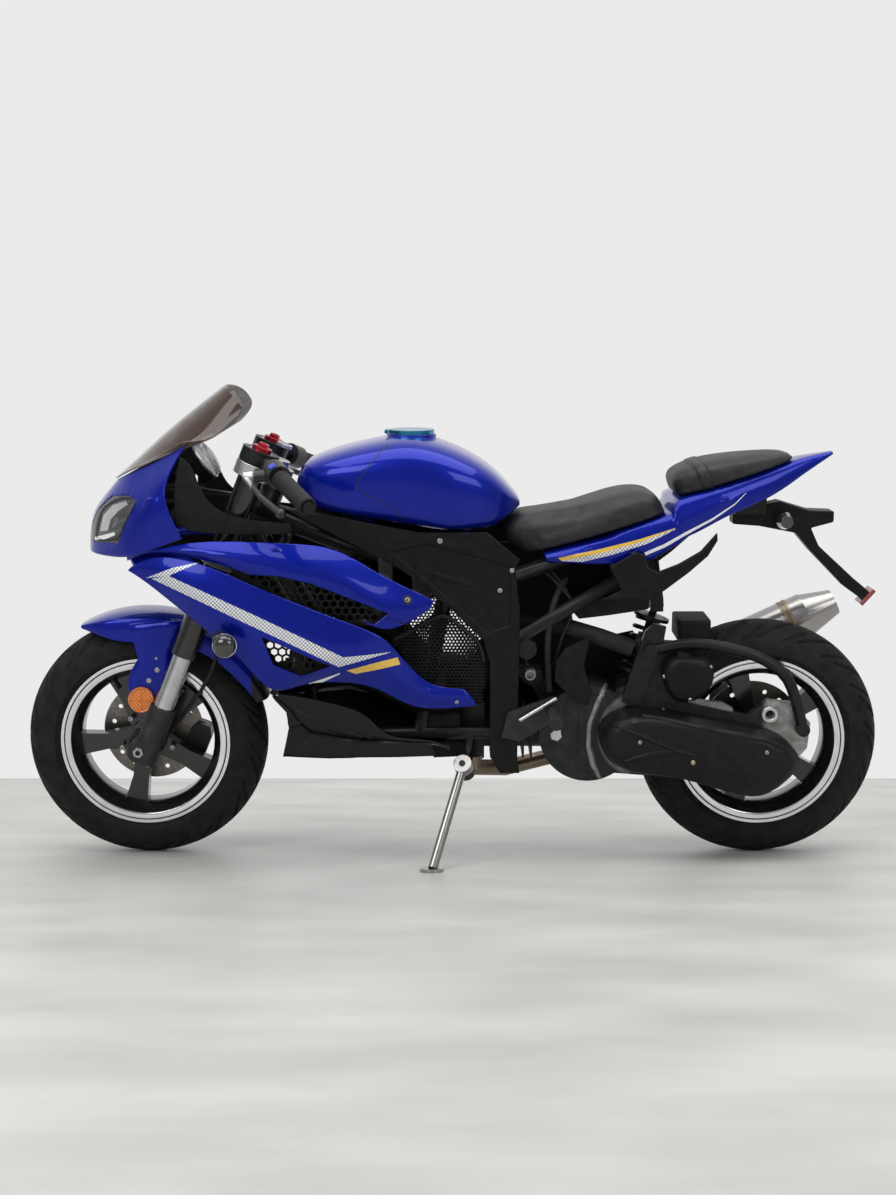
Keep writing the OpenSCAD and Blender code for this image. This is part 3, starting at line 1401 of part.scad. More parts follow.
module rear_shock() {
  low = [shock_low[0], 0, shock_low[1]];
  top = [shock_top[0], 0, shock_top[1]];
  run = top - low;
  length = norm(run);
  color("#1e1f22") lean()
    difference() {
      union() {
        for (p = [low, top]) cross_bar(p.x, p.z, shock_half - seat_gap, shock_eye_d);
        bar(low, top, damper_d / 2);
        bar(low, low + run * 0.62, damper_d);
        bar(low + run * 0.16, low + run * 0.2, spring_d + wire_d);
        bar(low + run * 0.82, low + run * 0.86, spring_d + wire_d);
        translate(low) rotate([0, atan2(run.x, run.z), 0]) coil(length * 0.17, length * 0.85);
      }
      for (p = [low, top]) cross_bar(p.x, p.z, shock_half + over, eye_d + 2 * fit);
    }
}

module coil(z0, z1) {
  steps = 12;
  n = coil_turns * steps;
  r = (spring_d - wire_d) / 2;
  loft([for (i = [0:n])
    let (a = 360 * i / steps, out = [cos(a), sin(a), 0], p = out * r + [0, 0, lerp(z0, z1, i / n)])
    [for (k = [0:5]) p + out * cos(60 * k) * wire_d / 2 + [0, 0, sin(60 * k) * wire_d / 2]]]);
}

// Bent tube round the wheel, from an arm on the half case to the rear of it
hoop_d = 22;
hoop_y = 98;
hoop_collar = 4;
hoop_len = 298;
hoop_h = 169;
hoop_start = 134;
hoop_x = case_x + hoop_start;
hoop_z = 276;
hoop_shares = [[0, 0.923], [0.275, 1], [0.557, 0.923], [0.748, 0.799], [0.889, 0.592], [0.963, 0.26], [1, 0]];
// Arm that carries the tube's front end
hoop_arm_len = 82;
hoop_arm_h = 162;
hoop_arm_t = 12;
hoop_arm_lead = 52;
hoop_arm_rise = 46;
hoop_arm_shares = [
  [0, 0.05], [0.17, 0], [0.37, 0.02], [0.49, 0.14], [0.95, 0.8], [1, 0.96], [0.71, 1], [0.51, 0.9],
  [0.07, 0.21]];

module rear_hoop() {
  route = outline(hoop_shares, [hoop_x, hoop_z], [hoop_len, hoop_h]);
  path = [for (p = smooth(route, 3)) [p.x, -hoop_y, p.y]];
  color("#17181a") lean() {
    sweep(path, hoop_d, 12);
    for (p = [route[0], route[len(route) - 1]])
      translate([p.x, -case_out, p.y])
        rotate([90, 0, 0]) cylinder(d = hoop_d + hoop_collar, h = hoop_y - case_out + hoop_d / 2);
    side_plate(outline(hoop_arm_shares, [hoop_x - hoop_arm_lead, hoop_z + hoop_arm_rise],
      [hoop_arm_len, hoop_arm_h]),
      -case_out - hoop_arm_t, -case_out);
  }
}

// Foot pegs on brackets outside the frame covers
peg_d = 26;
peg_len = 92;
peg_share = [0.85, 0.68];
peg_bracket_len = 116;
peg_bracket_h = 88;
peg_bracket_z = 262;
peg_bracket_lap = 38;
peg_bracket_shares = [[0, 0.1], [0.3, 0], [0.98, 0.55], [1, 0.85], [0.85, 1], [0.1, 0.65]];
peg_bracket_t = 12;

module foot_pegs() {
  face = cover_y + cover_t;
  corner = [spar_x + spar_len - peg_bracket_lap, peg_bracket_z];
  size = [peg_bracket_len, peg_bracket_h];
  peg = outline([peg_share], corner, size)[0];
  color("#3a3b3d") lean() both_sides() {
    side_plate(outline(peg_bracket_shares, corner, size), -face - peg_bracket_t, -face);
    translate([peg.x, -face - over, peg.y]) rotate([90, 0, 0]) cylinder(d = peg_d, h = peg_len + peg_bracket_t);
  }
}

// Depth of the rear axle's end inside the half case
axle_in = 5;

module rear_axle() {
  color("#9a9c9e") lean() {
    translate([wheelbase, arm_out + over, axle_z])
      rotate([90, 0, 0]) cylinder(d = axle_d, h = arm_out + case_out - axle_in);
    translate([wheelbase, arm_out + axle_d, axle_z])
      rotate([90, 0, 0]) cylinder(d = axle_d * 1.8, h = axle_d - seat_gap, $fn = 6);
  }
}

// Side stand: pivot, foot and folded direction on the upright bike
pivot = [625, -136, 214];
foot_xy = [566, -270];
foot_t = 6;
fold_dir = unit([0.97, -0.1, 0.2]);
foot = [foot_xy[0], foot_xy[1], crown_r + (-crown_r - foot_xy[1] * sin(lean_deg)) / cos(lean_deg)];
stand_axis = unit(cross(foot - pivot, fold_dir));
eye_t = leg_d + over;

module side_stand() {
  tip = lean_point(foot);
  color("#c4c7ca") {
    lean()
      difference() {
        union() {
          bar(pivot, foot + unit(pivot - foot) * foot_t, leg_d);
          bar(pivot - stand_axis * eye_t / 2, pivot + stand_axis * eye_t / 2, leg_d * 2);
        }
        bar(pivot - stand_axis * eye_t, pivot + stand_axis * eye_t, pivot_d + 2 * fit);
      }
    translate([tip.x, tip.y, 0]) cylinder(d = foot_d, h = foot_t);
  }
}

// Frame

// Tubes of the left side as shares of the frame's box
rail_shares = [[0.03, -0.27, 1], [0.42, -0.92, 0.865], [0.905, -1, 0.716], [1, -1, 0.432], [1, -1, 0]];
cradle_shares = [[0, -0.24, 0.952], [0.236, -0.76, 0.52], [0.236, -0.76, 0.148], [0.46, -0.815, 0.066],
  [1, -1, 0.079]];
stay_shares = [[1, -1, 0.454], [1.455, -0.87, 0.742], [1.598, -0.76, 0.891], [1.622, -0.696, 0.952]];
strut_shares = [[0.663, -0.88, 0.07], [0.785, -0.978, 0.753]];
cover_stay_shares = [[0.52, 0.83], [0.967, 0.707], [1, 0.358], [0.728, 0.41]];
cap_tube_share = [1.083, -1, 0.445];
// Rear rails as shares of the tail cowl's size, in the tail's frame
tail_rail_shares = [[-0.186, -0.712, -0.326], [0.203, -0.61, -0.261], [0.729, -0.39, -0.152]];
function in_frame(shares) = place(shares, [frame_x, 0, frame_z], [frame_len, frame_y, frame_h]);
rail_route = in_frame(rail_shares);
cap_tube = in_frame([cap_tube_share])[0];
cover_stays = outline(cover_stay_shares, [frame_x, frame_z], [frame_len, frame_h]);
// Half lengths of the rear crossmember and of the bars below the tank
rear_half = 68;
pad_half = [84, 90];
cap_tube_d = 38;
// Seat of the stand's lug on the cradle
stand_root_share = [0.866, -0.957, 0.066];
stand_root = in_frame([stand_root_share])[0];
head_gap = 1;
bracket_w = 24;
head_s = (lower_clamp_s + upper_clamp_s + clamp_t) / 2;
head_mid = [
  steer_x * cos(rake_deg) + head_s * sin(rake_deg), axle_z + head_s * cos(rake_deg) - steer_x * sin(rake_deg)];
function rail_at(x) =
  lerp(rail_route[0], rail_route[1], (x - rail_route[0].x) / (rail_route[1].x - rail_route[0].x));
stand_lug = pivot - stand_axis * (eye_t / 2 + seat_gap + eye_t / 2);

module frame_tubes() {
  lean() {
    both_sides() {
      bent_bar(rail_route, rail_d);
      bent_bar(in_frame(cradle_shares), cradle_d);
      bent_bar(in_frame(stay_shares), cradle_d);
      bent_bar(in_frame(strut_shares), cradle_d);
      translate(cap_tube + [0, rail_d / 2, 0]) rotate([90, 0, 0]) cylinder(d = cap_tube_d, h = rail_d);
      bar([wing_mark.x, rail_at(wing_mark.x).y, wing_mark.z], rail_at(wing_mark.x), stay_d);
      side_plate([hanger_lug + [lug_d / 2, lug_d / 4], hanger_lug + [lug_d / 4, -lug_d / 2],
        cover_stays[2] - [0, stay_d / 2], cover_stays[2] + [0, stay_d / 2]],
        -lug_half - ear_plate, -lug_half);
      side_plate([shock_top + [eye_d, eye_d], shock_top + [eye_d, -eye_d], shock_top - [eye_d, eye_d],
        shock_top + [-eye_d * 2, shock_rise], shock_top + [-eye_d / 2, shock_rise]],
        -shock_half - ear_plate, -shock_half);
    }
    cross_bar(shock_top[0], shock_top[1], shock_half + ear_plate, eye_d);
    cross_bar(shock_top[0] - eye_d, shock_top[1] + shock_rise - eye_d / 2, rear_half, cradle_d);
    for (p = cover_stays) cross_bar(p[0], p[1], cover_y, stay_d);
    for (p = side_marks) cross_bar(p.x, p.z, side_boss, stay_d);
    for (p = belly_marks) cross_bar(p.x, p.z, belly_boss, stay_d);
    cross_bar(wing_mark.x, wing_mark.z, wing_boss, stay_d);
    cross_bar(nose_mark.x, nose_mark.z, nose_boss, stay_d);
    cross_bar(cockpit_mark.x, cockpit_mark.z, cockpit_boss, stay_d);
    cross_bar(fins_stay[0], fins_stay[1], fins_y, stay_d);
    side_plate([[nose_mark.x - stay_d, nose_mark.z - stay_d], [nose_mark.x - stay_d, nose_mark.z + stay_d],
      [cockpit_mark.x + stay_d, cockpit_mark.z + stay_d], [head_mid.x, head_mid.y + head_d / 2],
      [head_mid.x, head_mid.y - head_d / 2], [cockpit_mark.x + stay_d, cockpit_mark.z - stay_d]],
      -bracket_w / 2, bracket_w / 2);
    for (s = tank_pad_shares)
      translate([tank_x + s * tank_len - pad_len / 2, -pad_w / 2, tank_pad_z - pad_len])
        cube([pad_len, pad_w, pad_len]);
    cross_bar(tank_x + tank_pad_shares[0] * tank_len, tank_pad_z - pad_len / 2, pad_half[0], cradle_d);
    cross_bar(tank_x + tank_pad_shares[1] * tank_len, tank_pad_z - pad_len, pad_half[1], cradle_d);
    translate([hanger_x, -hanger_w, hanger_top]) cube([hanger_len * 0.22, 2 * hanger_w, cradle_d * 1.6]);
    bar(stand_lug - stand_axis * eye_t / 2, stand_root, pivot_d * 1.6);
    bar(stand_lug - stand_axis * eye_t / 2, stand_lug + stand_axis * eye_t / 2, leg_d * 2);
    bar(stand_lug, pivot + stand_axis * (eye_t / 2 + over), pivot_d);
  }
  tail_frame() {
    both_sides() bent_bar(place(tail_rail_shares, [0, 0, 0], [cowl_len, cowl_w / 2, cowl_h]), cradle_d);
    for (p = cowl_marks) cross_bar(p.x, p.z, cowl_boss, stay_d);
  }
  at_gauge() translate([0, 0, -gauge_stem]) cylinder(d = gauge_d / 3, h = gauge_stem);
  lean() bar(gauge_at - [gauge_stem / 2, 0, gauge_stem / 2], [cockpit_mark.x, 0, cockpit_mark.z], stay_d);
}

// Height of the rear crossmember above the shock's upper pin
shock_rise = 135;

module main_frame() {
  color("#1b1c1e")
    difference() {
      union() {
        frame_tubes();
        fork_frame()
          translate([steer_x, 0, lower_clamp_s + clamp_t + head_gap])
            cylinder(d = head_d, h = upper_clamp_s - lower_clamp_s - clamp_t - 2 * head_gap);
      }
      fork_frame()
        translate([steer_x, 0, lower_clamp_s])
          cylinder(d = stem_d + 2 * fit, h = upper_clamp_s - lower_clamp_s + clamp_t);
    }
}

main_frame();
frame_covers();
fuel_tank();
filler_cap();
nose_fairing();
headlamps();
windscreen();
cockpit_panels();
instrument();
side_fairings();
fairing_wings();
vent_grilles();
belly_pan();
perforated_guards();
rider_seat();
pillion_seat();
tail_cowl();
tail_lamp();
plate_hanger();
indicators();
tail_fins();
inner_covers();
engine_block();
drive_case();
air_filter_case();
intake();
exhaust_pipe();
muffler();
rear_shock();
rear_hoop();
foot_pegs();
rear_axle();
triple_clamps();
fork_tubes();
fork_sliders();
fork_feet();
front_fender();
front_caliper();
speedo_cable();
handlebars();
grips();
controls();
fork_reflectors();
front_rim();
front_tyre();
front_disc();
rear_rim();
rear_tyre();
rear_disc();
side_stand();
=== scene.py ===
import json
import math

import bmesh
import bpy
import numpy as np
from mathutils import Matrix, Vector
from mathutils.bvhtree import BVHTree

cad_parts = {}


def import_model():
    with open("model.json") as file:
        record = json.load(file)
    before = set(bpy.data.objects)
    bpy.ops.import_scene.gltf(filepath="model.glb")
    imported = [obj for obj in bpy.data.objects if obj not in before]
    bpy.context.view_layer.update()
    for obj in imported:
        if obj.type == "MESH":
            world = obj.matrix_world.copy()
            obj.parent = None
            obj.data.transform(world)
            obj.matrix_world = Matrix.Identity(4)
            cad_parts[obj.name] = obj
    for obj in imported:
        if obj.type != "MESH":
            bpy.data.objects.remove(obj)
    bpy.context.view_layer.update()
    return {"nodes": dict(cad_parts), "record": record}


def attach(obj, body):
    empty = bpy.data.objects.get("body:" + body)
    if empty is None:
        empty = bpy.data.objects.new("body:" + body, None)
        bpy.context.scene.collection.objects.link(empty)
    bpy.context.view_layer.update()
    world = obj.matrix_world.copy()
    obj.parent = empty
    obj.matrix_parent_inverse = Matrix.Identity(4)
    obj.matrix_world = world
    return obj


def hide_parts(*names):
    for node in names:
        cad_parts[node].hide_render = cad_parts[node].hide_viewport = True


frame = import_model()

NODES = frame["nodes"]
BODY = {n: b for b, ns in frame["record"]["behaviour"]["bodies"].items() for n in ns}
SLOTS = {row["node"]: row["material_slot"] for row in frame["record"]["subparts"]}

# The bike's upright frame in mm: x rearwards from the front axle, y right, z up
LEAN = math.radians(10.6)
WHEELBASE, CROWN, GRIP_H, AXLE_Z = 1210.0, 60.0, 775.0, 237.0
SHIFT = (GRIP_H - CROWN) * math.sin(LEAN)
RAKE = math.radians(22)
TAIL_TILT, TAIL_X, TAIL_Z = math.radians(17), 764, 617
WHEELS = (("front_wheel", 0.0), ("rear_wheel", WHEELBASE))
ACROSS = (0, math.cos(LEAN), math.sin(LEAN))
UP = (0, -math.sin(LEAN), math.cos(LEAN))


def spun(a, b, angle):
    """Two coordinates turned by an angle, the first towards the second."""
    c, s = math.cos(angle), math.sin(angle)
    return a * c - b * s, a * s + b * c


def columns(pts):
    return np.asarray(pts, float).reshape(-1, 3).T


def world(pts):
    """Points of the bike's frame in the shared frame, in metres."""
    x, y, z = columns(pts)
    y, z = spun(y, z - CROWN, LEAN)
    return np.stack([x - WHEELBASE / 2, y + SHIFT, z + CROWN], 1) / 1000


def bike(pts):
    """Points of the shared frame in the bike's frame."""
    x, y, z = columns(pts) * 1000
    y, z = spun(y - SHIFT, z - CROWN, -LEAN)
    return np.stack([x + WHEELBASE / 2, y, z + CROWN], 1)


def fork(pts):
    """Points of the fork's frame, z up along the fork from the front axle, in the bike's frame."""
    x, y, z = columns(pts)
    x, z = spun(x, z, -RAKE)
    return np.stack([x, y, z + AXLE_Z], 1)


def tail(pts):
    """Points of the tail's frame, x along the seat, in the bike's frame."""
    x, y, z = columns(pts)
    x, z = spun(x, z, TAIL_TILT)
    return np.stack([x + TAIL_X, y, z + TAIL_Z], 1)


def in_tail(pts):
    """Points of the bike's frame in the tail's frame."""
    x, y, z = columns(pts)
    x, z = spun(x - TAIL_X, z - TAIL_Z, -TAIL_TILT)
    return np.stack([x, y, z], 1)


def linked(name, data):
    o = bpy.data.objects.new(name, data)
    bpy.context.scene.collection.objects.link(o)
    return o


def modified(o, name, kind, **settings):
    mod = o.modifiers.new(name, kind)
    for k, v in settings.items():
        setattr(mod, k, v)


# Camera and light

EYE = Vector((-0.0091, -3.168, 0.509))
FOCAL_PX, MID_PX, PHOTO_H_PX = 1634.0, (448.0, 597.0), 1195
SENSOR_MM = 36

cam = linked("camera", bpy.data.cameras.new("camera"))
cam.data.sensor_width = SENSOR_MM
cam.data.lens = SENSOR_MM * FOCAL_PX / PHOTO_H_PX
cam.location = EYE
cam.rotation_euler = (math.radians(90), 0, 0)
bpy.context.scene.camera = cam


def ray(px, py):
    return Vector(((px - MID_PX[0]) / FOCAL_PX, 1, (MID_PX[1] - py) / FOCAL_PX)).normalized()


def area(name, at, aim, size, power):
    lamp = bpy.data.lights.new(name, "AREA")
    lamp.shape = "RECTANGLE"
    lamp.size, lamp.size_y = size
    lamp.energy = power
    o = linked(name, lamp)
    o.location = at
    o.rotation_mode = "QUATERNION"
    o.rotation_quaternion = (Vector(aim) - Vector(at)).to_track_quat("-Z", "Y")
    return o


area("light_top", (0.1, -0.7, 3.2), (0, 0, 0.4), (4.5, 2.4), 96)
area("light_front_left", (-2.4, -3.4, 2.4), (-0.2, 0, 0.5), (2.4, 1.8), 62)
area("light_front_right", (2.6, -3.2, 1.9), (0.3, 0, 0.4), (2.0, 1.6), 34)
area("light_back", (0.2, 3.0, 2.4), (0, 0, 0.5), (3.5, 1.2), 26).visible_glossy = False
bpy.context.scene.view_settings.view_transform = "Standard"

# A bright wall behind the bike and a dimmer room before it
ROOM_TONE = (0.83, 0.83, 0.83, 1)
ROOM_GLOW = {"From Min": -0.35, "From Max": 0.6, "To Min": 0.34, "To Max": 1.0}
sky = bpy.data.worlds.new("room")
sky.use_nodes = True
bpy.context.scene.world = sky
air = sky.node_tree.nodes
way = air.new("ShaderNodeSeparateXYZ")
sky.node_tree.links.new(air.new("ShaderNodeTexCoord").outputs["Generated"], way.inputs[0])
glow = air.new("ShaderNodeMapRange")
glow.interpolation_type = "SMOOTHSTEP"
for key, value in ROOM_GLOW.items():
    glow.inputs[key].default_value = value
sky.node_tree.links.new(way.outputs["Y"], glow.inputs["Value"])
sky.node_tree.links.new(glow.outputs["Result"], air["Background"].inputs["Strength"])
air["Background"].inputs["Color"].default_value = ROOM_TONE


# Materials

class Mat:
    def __init__(self, name, **sockets):
        self.mat = bpy.data.materials.new(name)
        self.mat.use_nodes = True
        self.tree = self.mat.node_tree
        self.shader = self.tree.nodes["Principled BSDF"]
        for k, v in sockets.items():
            self.shader.inputs[k.replace("_", " ")].default_value = v
        self.where = self.node("ShaderNodeTexCoord", "Object")

    def node(self, kind, out, links=None, values=None, **props):
        """One output of a new node."""
        n = self.tree.nodes.new(kind)
        for k, v in props.items():
            setattr(n, k, v)
        for k, v in (values or {}).items():
            n.inputs[k].default_value = v
        for k, v in (links or {}).items():
            self.tree.links.new(v, n.inputs[k])
        return n.outputs[out]

    def noise(self, scale, detail=3.0, stretch=None):
        at = self.where
        if stretch:
            at = self.node("ShaderNodeMapping", "Vector", {"Vector": at}, {"Scale": stretch})
        return self.node("ShaderNodeTexNoise", "Fac", {"Vector": at}, {"Scale": scale, "Detail": detail})

    def waves(self, scale, distortion, direction):
        return self.node("ShaderNodeTexWave", "Fac", {"Vector": self.where},
                         {"Scale": scale, "Distortion": distortion}, bands_direction=direction)

    def ramp(self, fac, *stops):
        out = self.node("ShaderNodeValToRGB", "Color", {"Fac": fac})
        for element, (place, tone) in zip(out.node.color_ramp.elements, stops):
            element.position, element.color = place, (*tone, 1)
        return out

    def tones(self, scale, detail, dark, light, stretch=None):
        return self.ramp(self.noise(scale, detail, stretch), (0.3, dark), (0.7, light))

    def span(self, fac, lo, hi):
        return self.node("ShaderNodeMapRange", "Result", {"Value": fac}, {"To Min": lo, "To Max": hi})

    def between(self, value, start, end):
        return self.node("ShaderNodeMapRange", "Result", {"Value": value},
                         {"From Min": start, "From Max": end})

    def math(self, op, *values):
        return self.node("ShaderNodeMath", 0, dict(enumerate(values)), operation=op)

    def mix(self, fac, a, b):
        given = {0: fac, 6: a, 7: b}
        links = {k: v for k, v in given.items() if isinstance(v, bpy.types.NodeSocket)}
        values = {k: (*v, 1) if isinstance(v, tuple) else v for k, v in given.items() if k not in links}
        return self.node("ShaderNodeMix", 2, links, values, data_type="RGBA")

    def along(self, vector, way):
        return self.node("ShaderNodeVectorMath", "Value", {0: vector}, {1: way}, operation="DOT_PRODUCT")

    def away(self, point):
        return self.node("ShaderNodeVectorMath", "Vector", {0: self.where}, {1: point}, operation="SUBTRACT")

    def set(self, socket, link):
        self.tree.links.new(link, self.shader.inputs[socket])

    def rough(self, scale, lo, hi, detail=3.0, stretch=None):
        self.set("Roughness", self.span(self.noise(scale, detail, stretch), lo, hi))

    def bump(self, height, strength, depth, socket="Normal"):
        self.set(socket, self.node("ShaderNodeBump", "Normal", {"Height": height},
                                   {"Strength": strength, "Distance": depth}))


def finish(name, dark, light, scale, rough, bump=None, stretch=None, **sockets):
    """A surface whose colour and roughness vary between two values, with a fine grain."""
    m = Mat(name, **sockets)
    m.set("Base Color", m.tones(scale, 4, dark, light, stretch))
    m.rough(scale * 2.7, *rough, 3, stretch)
    if bump:
        grain, strength, depth = bump
        m.bump(m.noise(grain, 2, stretch), strength, depth)
    return m.mat


def plastic(name, dark, light, rough, grain, strength, **sockets):
    return finish(name, dark, light, 60, rough, (grain, strength, 0.0006), **sockets)


PAINT_DARK, PAINT_LIGHT = (0.001, 0.008, 0.22), (0.002, 0.014, 0.34)
BARE_PLASTIC = (0.010, 0.010, 0.011)
MIDDLE = (SHIFT * math.cos(LEAN) + CROWN * math.sin(LEAN)) / 1000
FLAP_X = -0.392


def paint(name, lined=False, black_from=None):
    """Metallic paint, and where lined, bare black plastic on the faces that look inwards."""
    m = Mat(name, Metallic=0.45, Coat_Weight=0.85, Coat_Roughness=0.03, Coat_IOR=1.31, Specular_IOR_Level=0.1)
    flake = m.node("ShaderNodeTexVoronoi", "Color", {"Vector": m.where}, {"Scale": 2600})
    coat = m.mix(0.12, m.mix(m.noise(2.5, 2), PAINT_DARK, PAINT_LIGHT), flake)
    coat.node.blend_type = "SOFT_LIGHT"
    if lined:
        off = m.along(m.away(tuple(MIDDLE * k for k in ACROSS)), ACROSS)
        facing = m.along(m.node("ShaderNodeTexCoord", "Normal"), ACROSS)
        coat = m.mix(m.between(m.math("MULTIPLY", off, facing), -0.010, -0.022), coat, BARE_PLASTIC)
    if black_from is not None:
        x = m.along(m.where, (1, 0, 0))
        coat = m.mix(m.between(x, black_from, black_from + 0.001), coat, BARE_PLASTIC)
    m.set("Base Color", coat)
    m.rough(900, 0.26, 0.36, 2)
    m.bump(m.noise(260, 2), 0.02, 0.001, "Coat Normal")
    return m.mat


BLUE = paint("paint_blue")
LINED = paint("paint_blue_lined", True)
FENDER = paint("paint_blue_flap", True, FLAP_X)
BLACK = plastic("panel_black", (0.0045, 0.0045, 0.005), (0.009, 0.009, 0.0095), (0.36, 0.48), 700, 0.2,
                Specular_IOR_Level=0.16)
GLOSS = plastic("gloss_black", (0.006, 0.006, 0.007), (0.012, 0.012, 0.013), (0.16, 0.26), 300, 0.04,
                Coat_Weight=0.4)
MATT = plastic("matt_black", (0.007, 0.007, 0.0075), (0.014, 0.014, 0.0145), (0.55, 0.7), 1200, 0.35,
               Specular_IOR_Level=0.15)
FRAME = plastic("frame_black", (0.006, 0.006, 0.0065), (0.013, 0.013, 0.0135), (0.3, 0.44), 500, 0.12,
                Specular_IOR_Level=0.25)
CHARCOAL = plastic("case_charcoal", (0.005, 0.005, 0.0055), (0.010, 0.010, 0.011), (0.34, 0.48), 420, 0.25,
                   Specular_IOR_Level=0.2)
RUBBER = plastic("rubber_black", (0.010, 0.010, 0.010), (0.022, 0.022, 0.022), (0.6, 0.78), 1500, 0.4,
                 Specular_IOR_Level=0.25)
SEAT = plastic("seat_vinyl", (0.009, 0.009, 0.010), (0.018, 0.018, 0.019), (0.4, 0.55), 1100, 0.5,
               Specular_IOR_Level=0.35)
SMOKE = plastic("lens_smoke", (0.012, 0.011, 0.012), (0.030, 0.028, 0.030), (0.08, 0.16), 200, 0.02,
                Coat_Weight=1.0)
BUTTON = plastic("button_blue", (0.03, 0.05, 0.40), (0.05, 0.08, 0.55), (0.3, 0.4), 300, 0.05)
SEAM = plastic("seam_dark", (0.002, 0.002, 0.004), (0.006, 0.006, 0.008), (0.5, 0.6), 300, 0.05)
TYRE = finish("tyre_rubber", (0.007, 0.007, 0.007), (0.017, 0.0165, 0.016), 35, (0.6, 0.82),
              (700, 0.35, 0.0008), Specular_IOR_Level=0.16)
CASE = finish("case_black", (0.012, 0.012, 0.013), (0.028, 0.028, 0.030), 40, (0.36, 0.55),
              (260, 0.3, 0.0008), Metallic=0.3)
ALLOY = finish("cast_alloy", (0.22, 0.215, 0.205), (0.42, 0.415, 0.40), 55, (0.38, 0.6),
               (320, 0.45, 0.001), Metallic=0.9)
CHROME = finish("chrome", (0.50, 0.51, 0.52), (0.62, 0.63, 0.64), 30, (0.12, 0.24), Metallic=1.0)
STEEL = finish("brushed_steel", (0.30, 0.29, 0.28), (0.44, 0.43, 0.42), 90, (0.22, 0.36),
               (500, 0.08, 0.0004), (1, 14, 14), Metallic=1.0)
DISC = finish("disc_steel", (0.15, 0.138, 0.122), (0.25, 0.235, 0.212), 160, (0.28, 0.42),
              (900, 0.1, 0.0004), Metallic=1.0)
POLISH = finish("polished_rim", (0.74, 0.74, 0.75), (0.86, 0.86, 0.87), 40, (0.08, 0.2), Metallic=1.0)
TEAL = finish("cap_teal", (0.010, 0.16, 0.30), (0.020, 0.27, 0.44), 60, (0.18, 0.3),
              (600, 0.06, 0.0004), Metallic=0.9, Coat_Weight=0.3)
RED = finish("red_anodised", (0.30, 0.012, 0.022), (0.44, 0.024, 0.040), 60, (0.2, 0.32), Metallic=0.8)
SILVER = finish("silver_paint", (0.50, 0.51, 0.52), (0.62, 0.63, 0.64), 70, (0.25, 0.38),
                (400, 0.08, 0.0005), Metallic=0.9)
BRASS = finish("zinc_bolt", (0.45, 0.38, 0.22), (0.62, 0.54, 0.34), 200, (0.25, 0.4), Metallic=1.0)
BOLT = finish("bolt_steel", (0.30, 0.30, 0.31), (0.46, 0.46, 0.47), 200, (0.25, 0.42), Metallic=1.0)
WHITE = finish("decal_white", (0.78, 0.79, 0.80), (0.86, 0.87, 0.88), 120, (0.25, 0.34), Coat_Weight=0.8)
GOLD = finish("decal_gold", (0.68, 0.42, 0.045), (0.78, 0.52, 0.07), 120, (0.25, 0.34), Coat_Weight=0.8)
CLEAR = finish("lamp_clear", (0.030, 0.033, 0.038), (0.060, 0.064, 0.070), 30, (0.02, 0.05),
               Alpha=0.58, Coat_Weight=1.0)
TINT = finish("screen_tint", (0.050, 0.026, 0.016), (0.064, 0.035, 0.022), 14, (0.05, 0.10),
              Alpha=0.62, Coat_Weight=0.6)
GLASS = finish("gauge_glass", (0.42, 0.42, 0.43), (0.58, 0.58, 0.60), 30, (0.03, 0.08),
               Alpha=0.5, Coat_Weight=1.0)
LAMP_RED = finish("lamp_red", (0.16, 0.004, 0.006), (0.26, 0.008, 0.010), 90, (0.06, 0.14),
                  (500, 0.2, 0.0006), Coat_Weight=1.0)


def halftone():
    """Pale dots on a darker ground, in slanted rows."""
    m = Mat("decal_dots", Coat_Weight=0.8)
    flat = m.node("ShaderNodeMapping", "Vector", {"Vector": m.where},
                  {"Scale": (1, 0, 1), "Rotation": (0, math.radians(45), 0)})
    dots = m.node("ShaderNodeTexVoronoi", "Distance", {"Vector": flat}, {"Scale": 200, "Randomness": 0.0})
    m.set("Base Color", m.ramp(dots, (0.39, (0.80, 0.81, 0.83)), (0.45, (0.20, 0.22, 0.27))))
    m.rough(150, 0.25, 0.36)
    return m.mat


def amber_lens():
    m = Mat("lens_amber", Coat_Weight=1.0, Coat_Roughness=0.08)
    ribs = m.waves(90.0, 1.5, "DIAGONAL")
    m.set("Base Color", m.ramp(ribs, (0.2, (0.62, 0.13, 0.004)), (0.8, (0.86, 0.26, 0.01))))
    m.rough(120, 0.12, 0.25)
    m.bump(ribs, 0.5, 0.002)
    return m.mat


CASE_MID, BARE_FROM, BARE_TO = (975, -120, 262), 0.600, 0.612


def engine_case():
    """Sooty castings, bare at the rear arm and along the worn rim of the drive case."""
    m = Mat("engine_case", Metallic=0.55)
    rear = m.between(m.along(m.where, (1, 0, 0)), BARE_FROM, BARE_TO)
    from_mid = m.away(tuple(world([CASE_MID])[0]))
    ahead, above = m.along(from_mid, (1, 0, 0)), m.along(from_mid, UP)
    out = m.math("SQRT", m.math("ADD", m.math("MULTIPLY", ahead, ahead), m.math("MULTIPLY", above, above)))
    rim = m.math("MULTIPLY", m.between(out, 0.066, 0.070), m.between(out, 0.090, 0.084))
    rim = m.math("MULTIPLY", rim, m.between(ahead, -0.02, -0.03))
    bare = m.math("MAXIMUM", rear, m.math("MULTIPLY", rim, m.span(m.noise(60, 4), 0.2, 0.9)))
    cast = m.tones(70, 5, (0.20, 0.195, 0.185), (0.42, 0.41, 0.40))
    soot = m.tones(45, 4, (0.014, 0.014, 0.015), (0.034, 0.034, 0.036))
    m.set("Base Color", m.mix(bare, soot, cast))
    m.rough(130, 0.38, 0.6)
    m.bump(m.noise(300, 3), 0.4, 0.001)
    return m.mat


LEVER_FROM, LEVER_TO = -0.364, -0.370


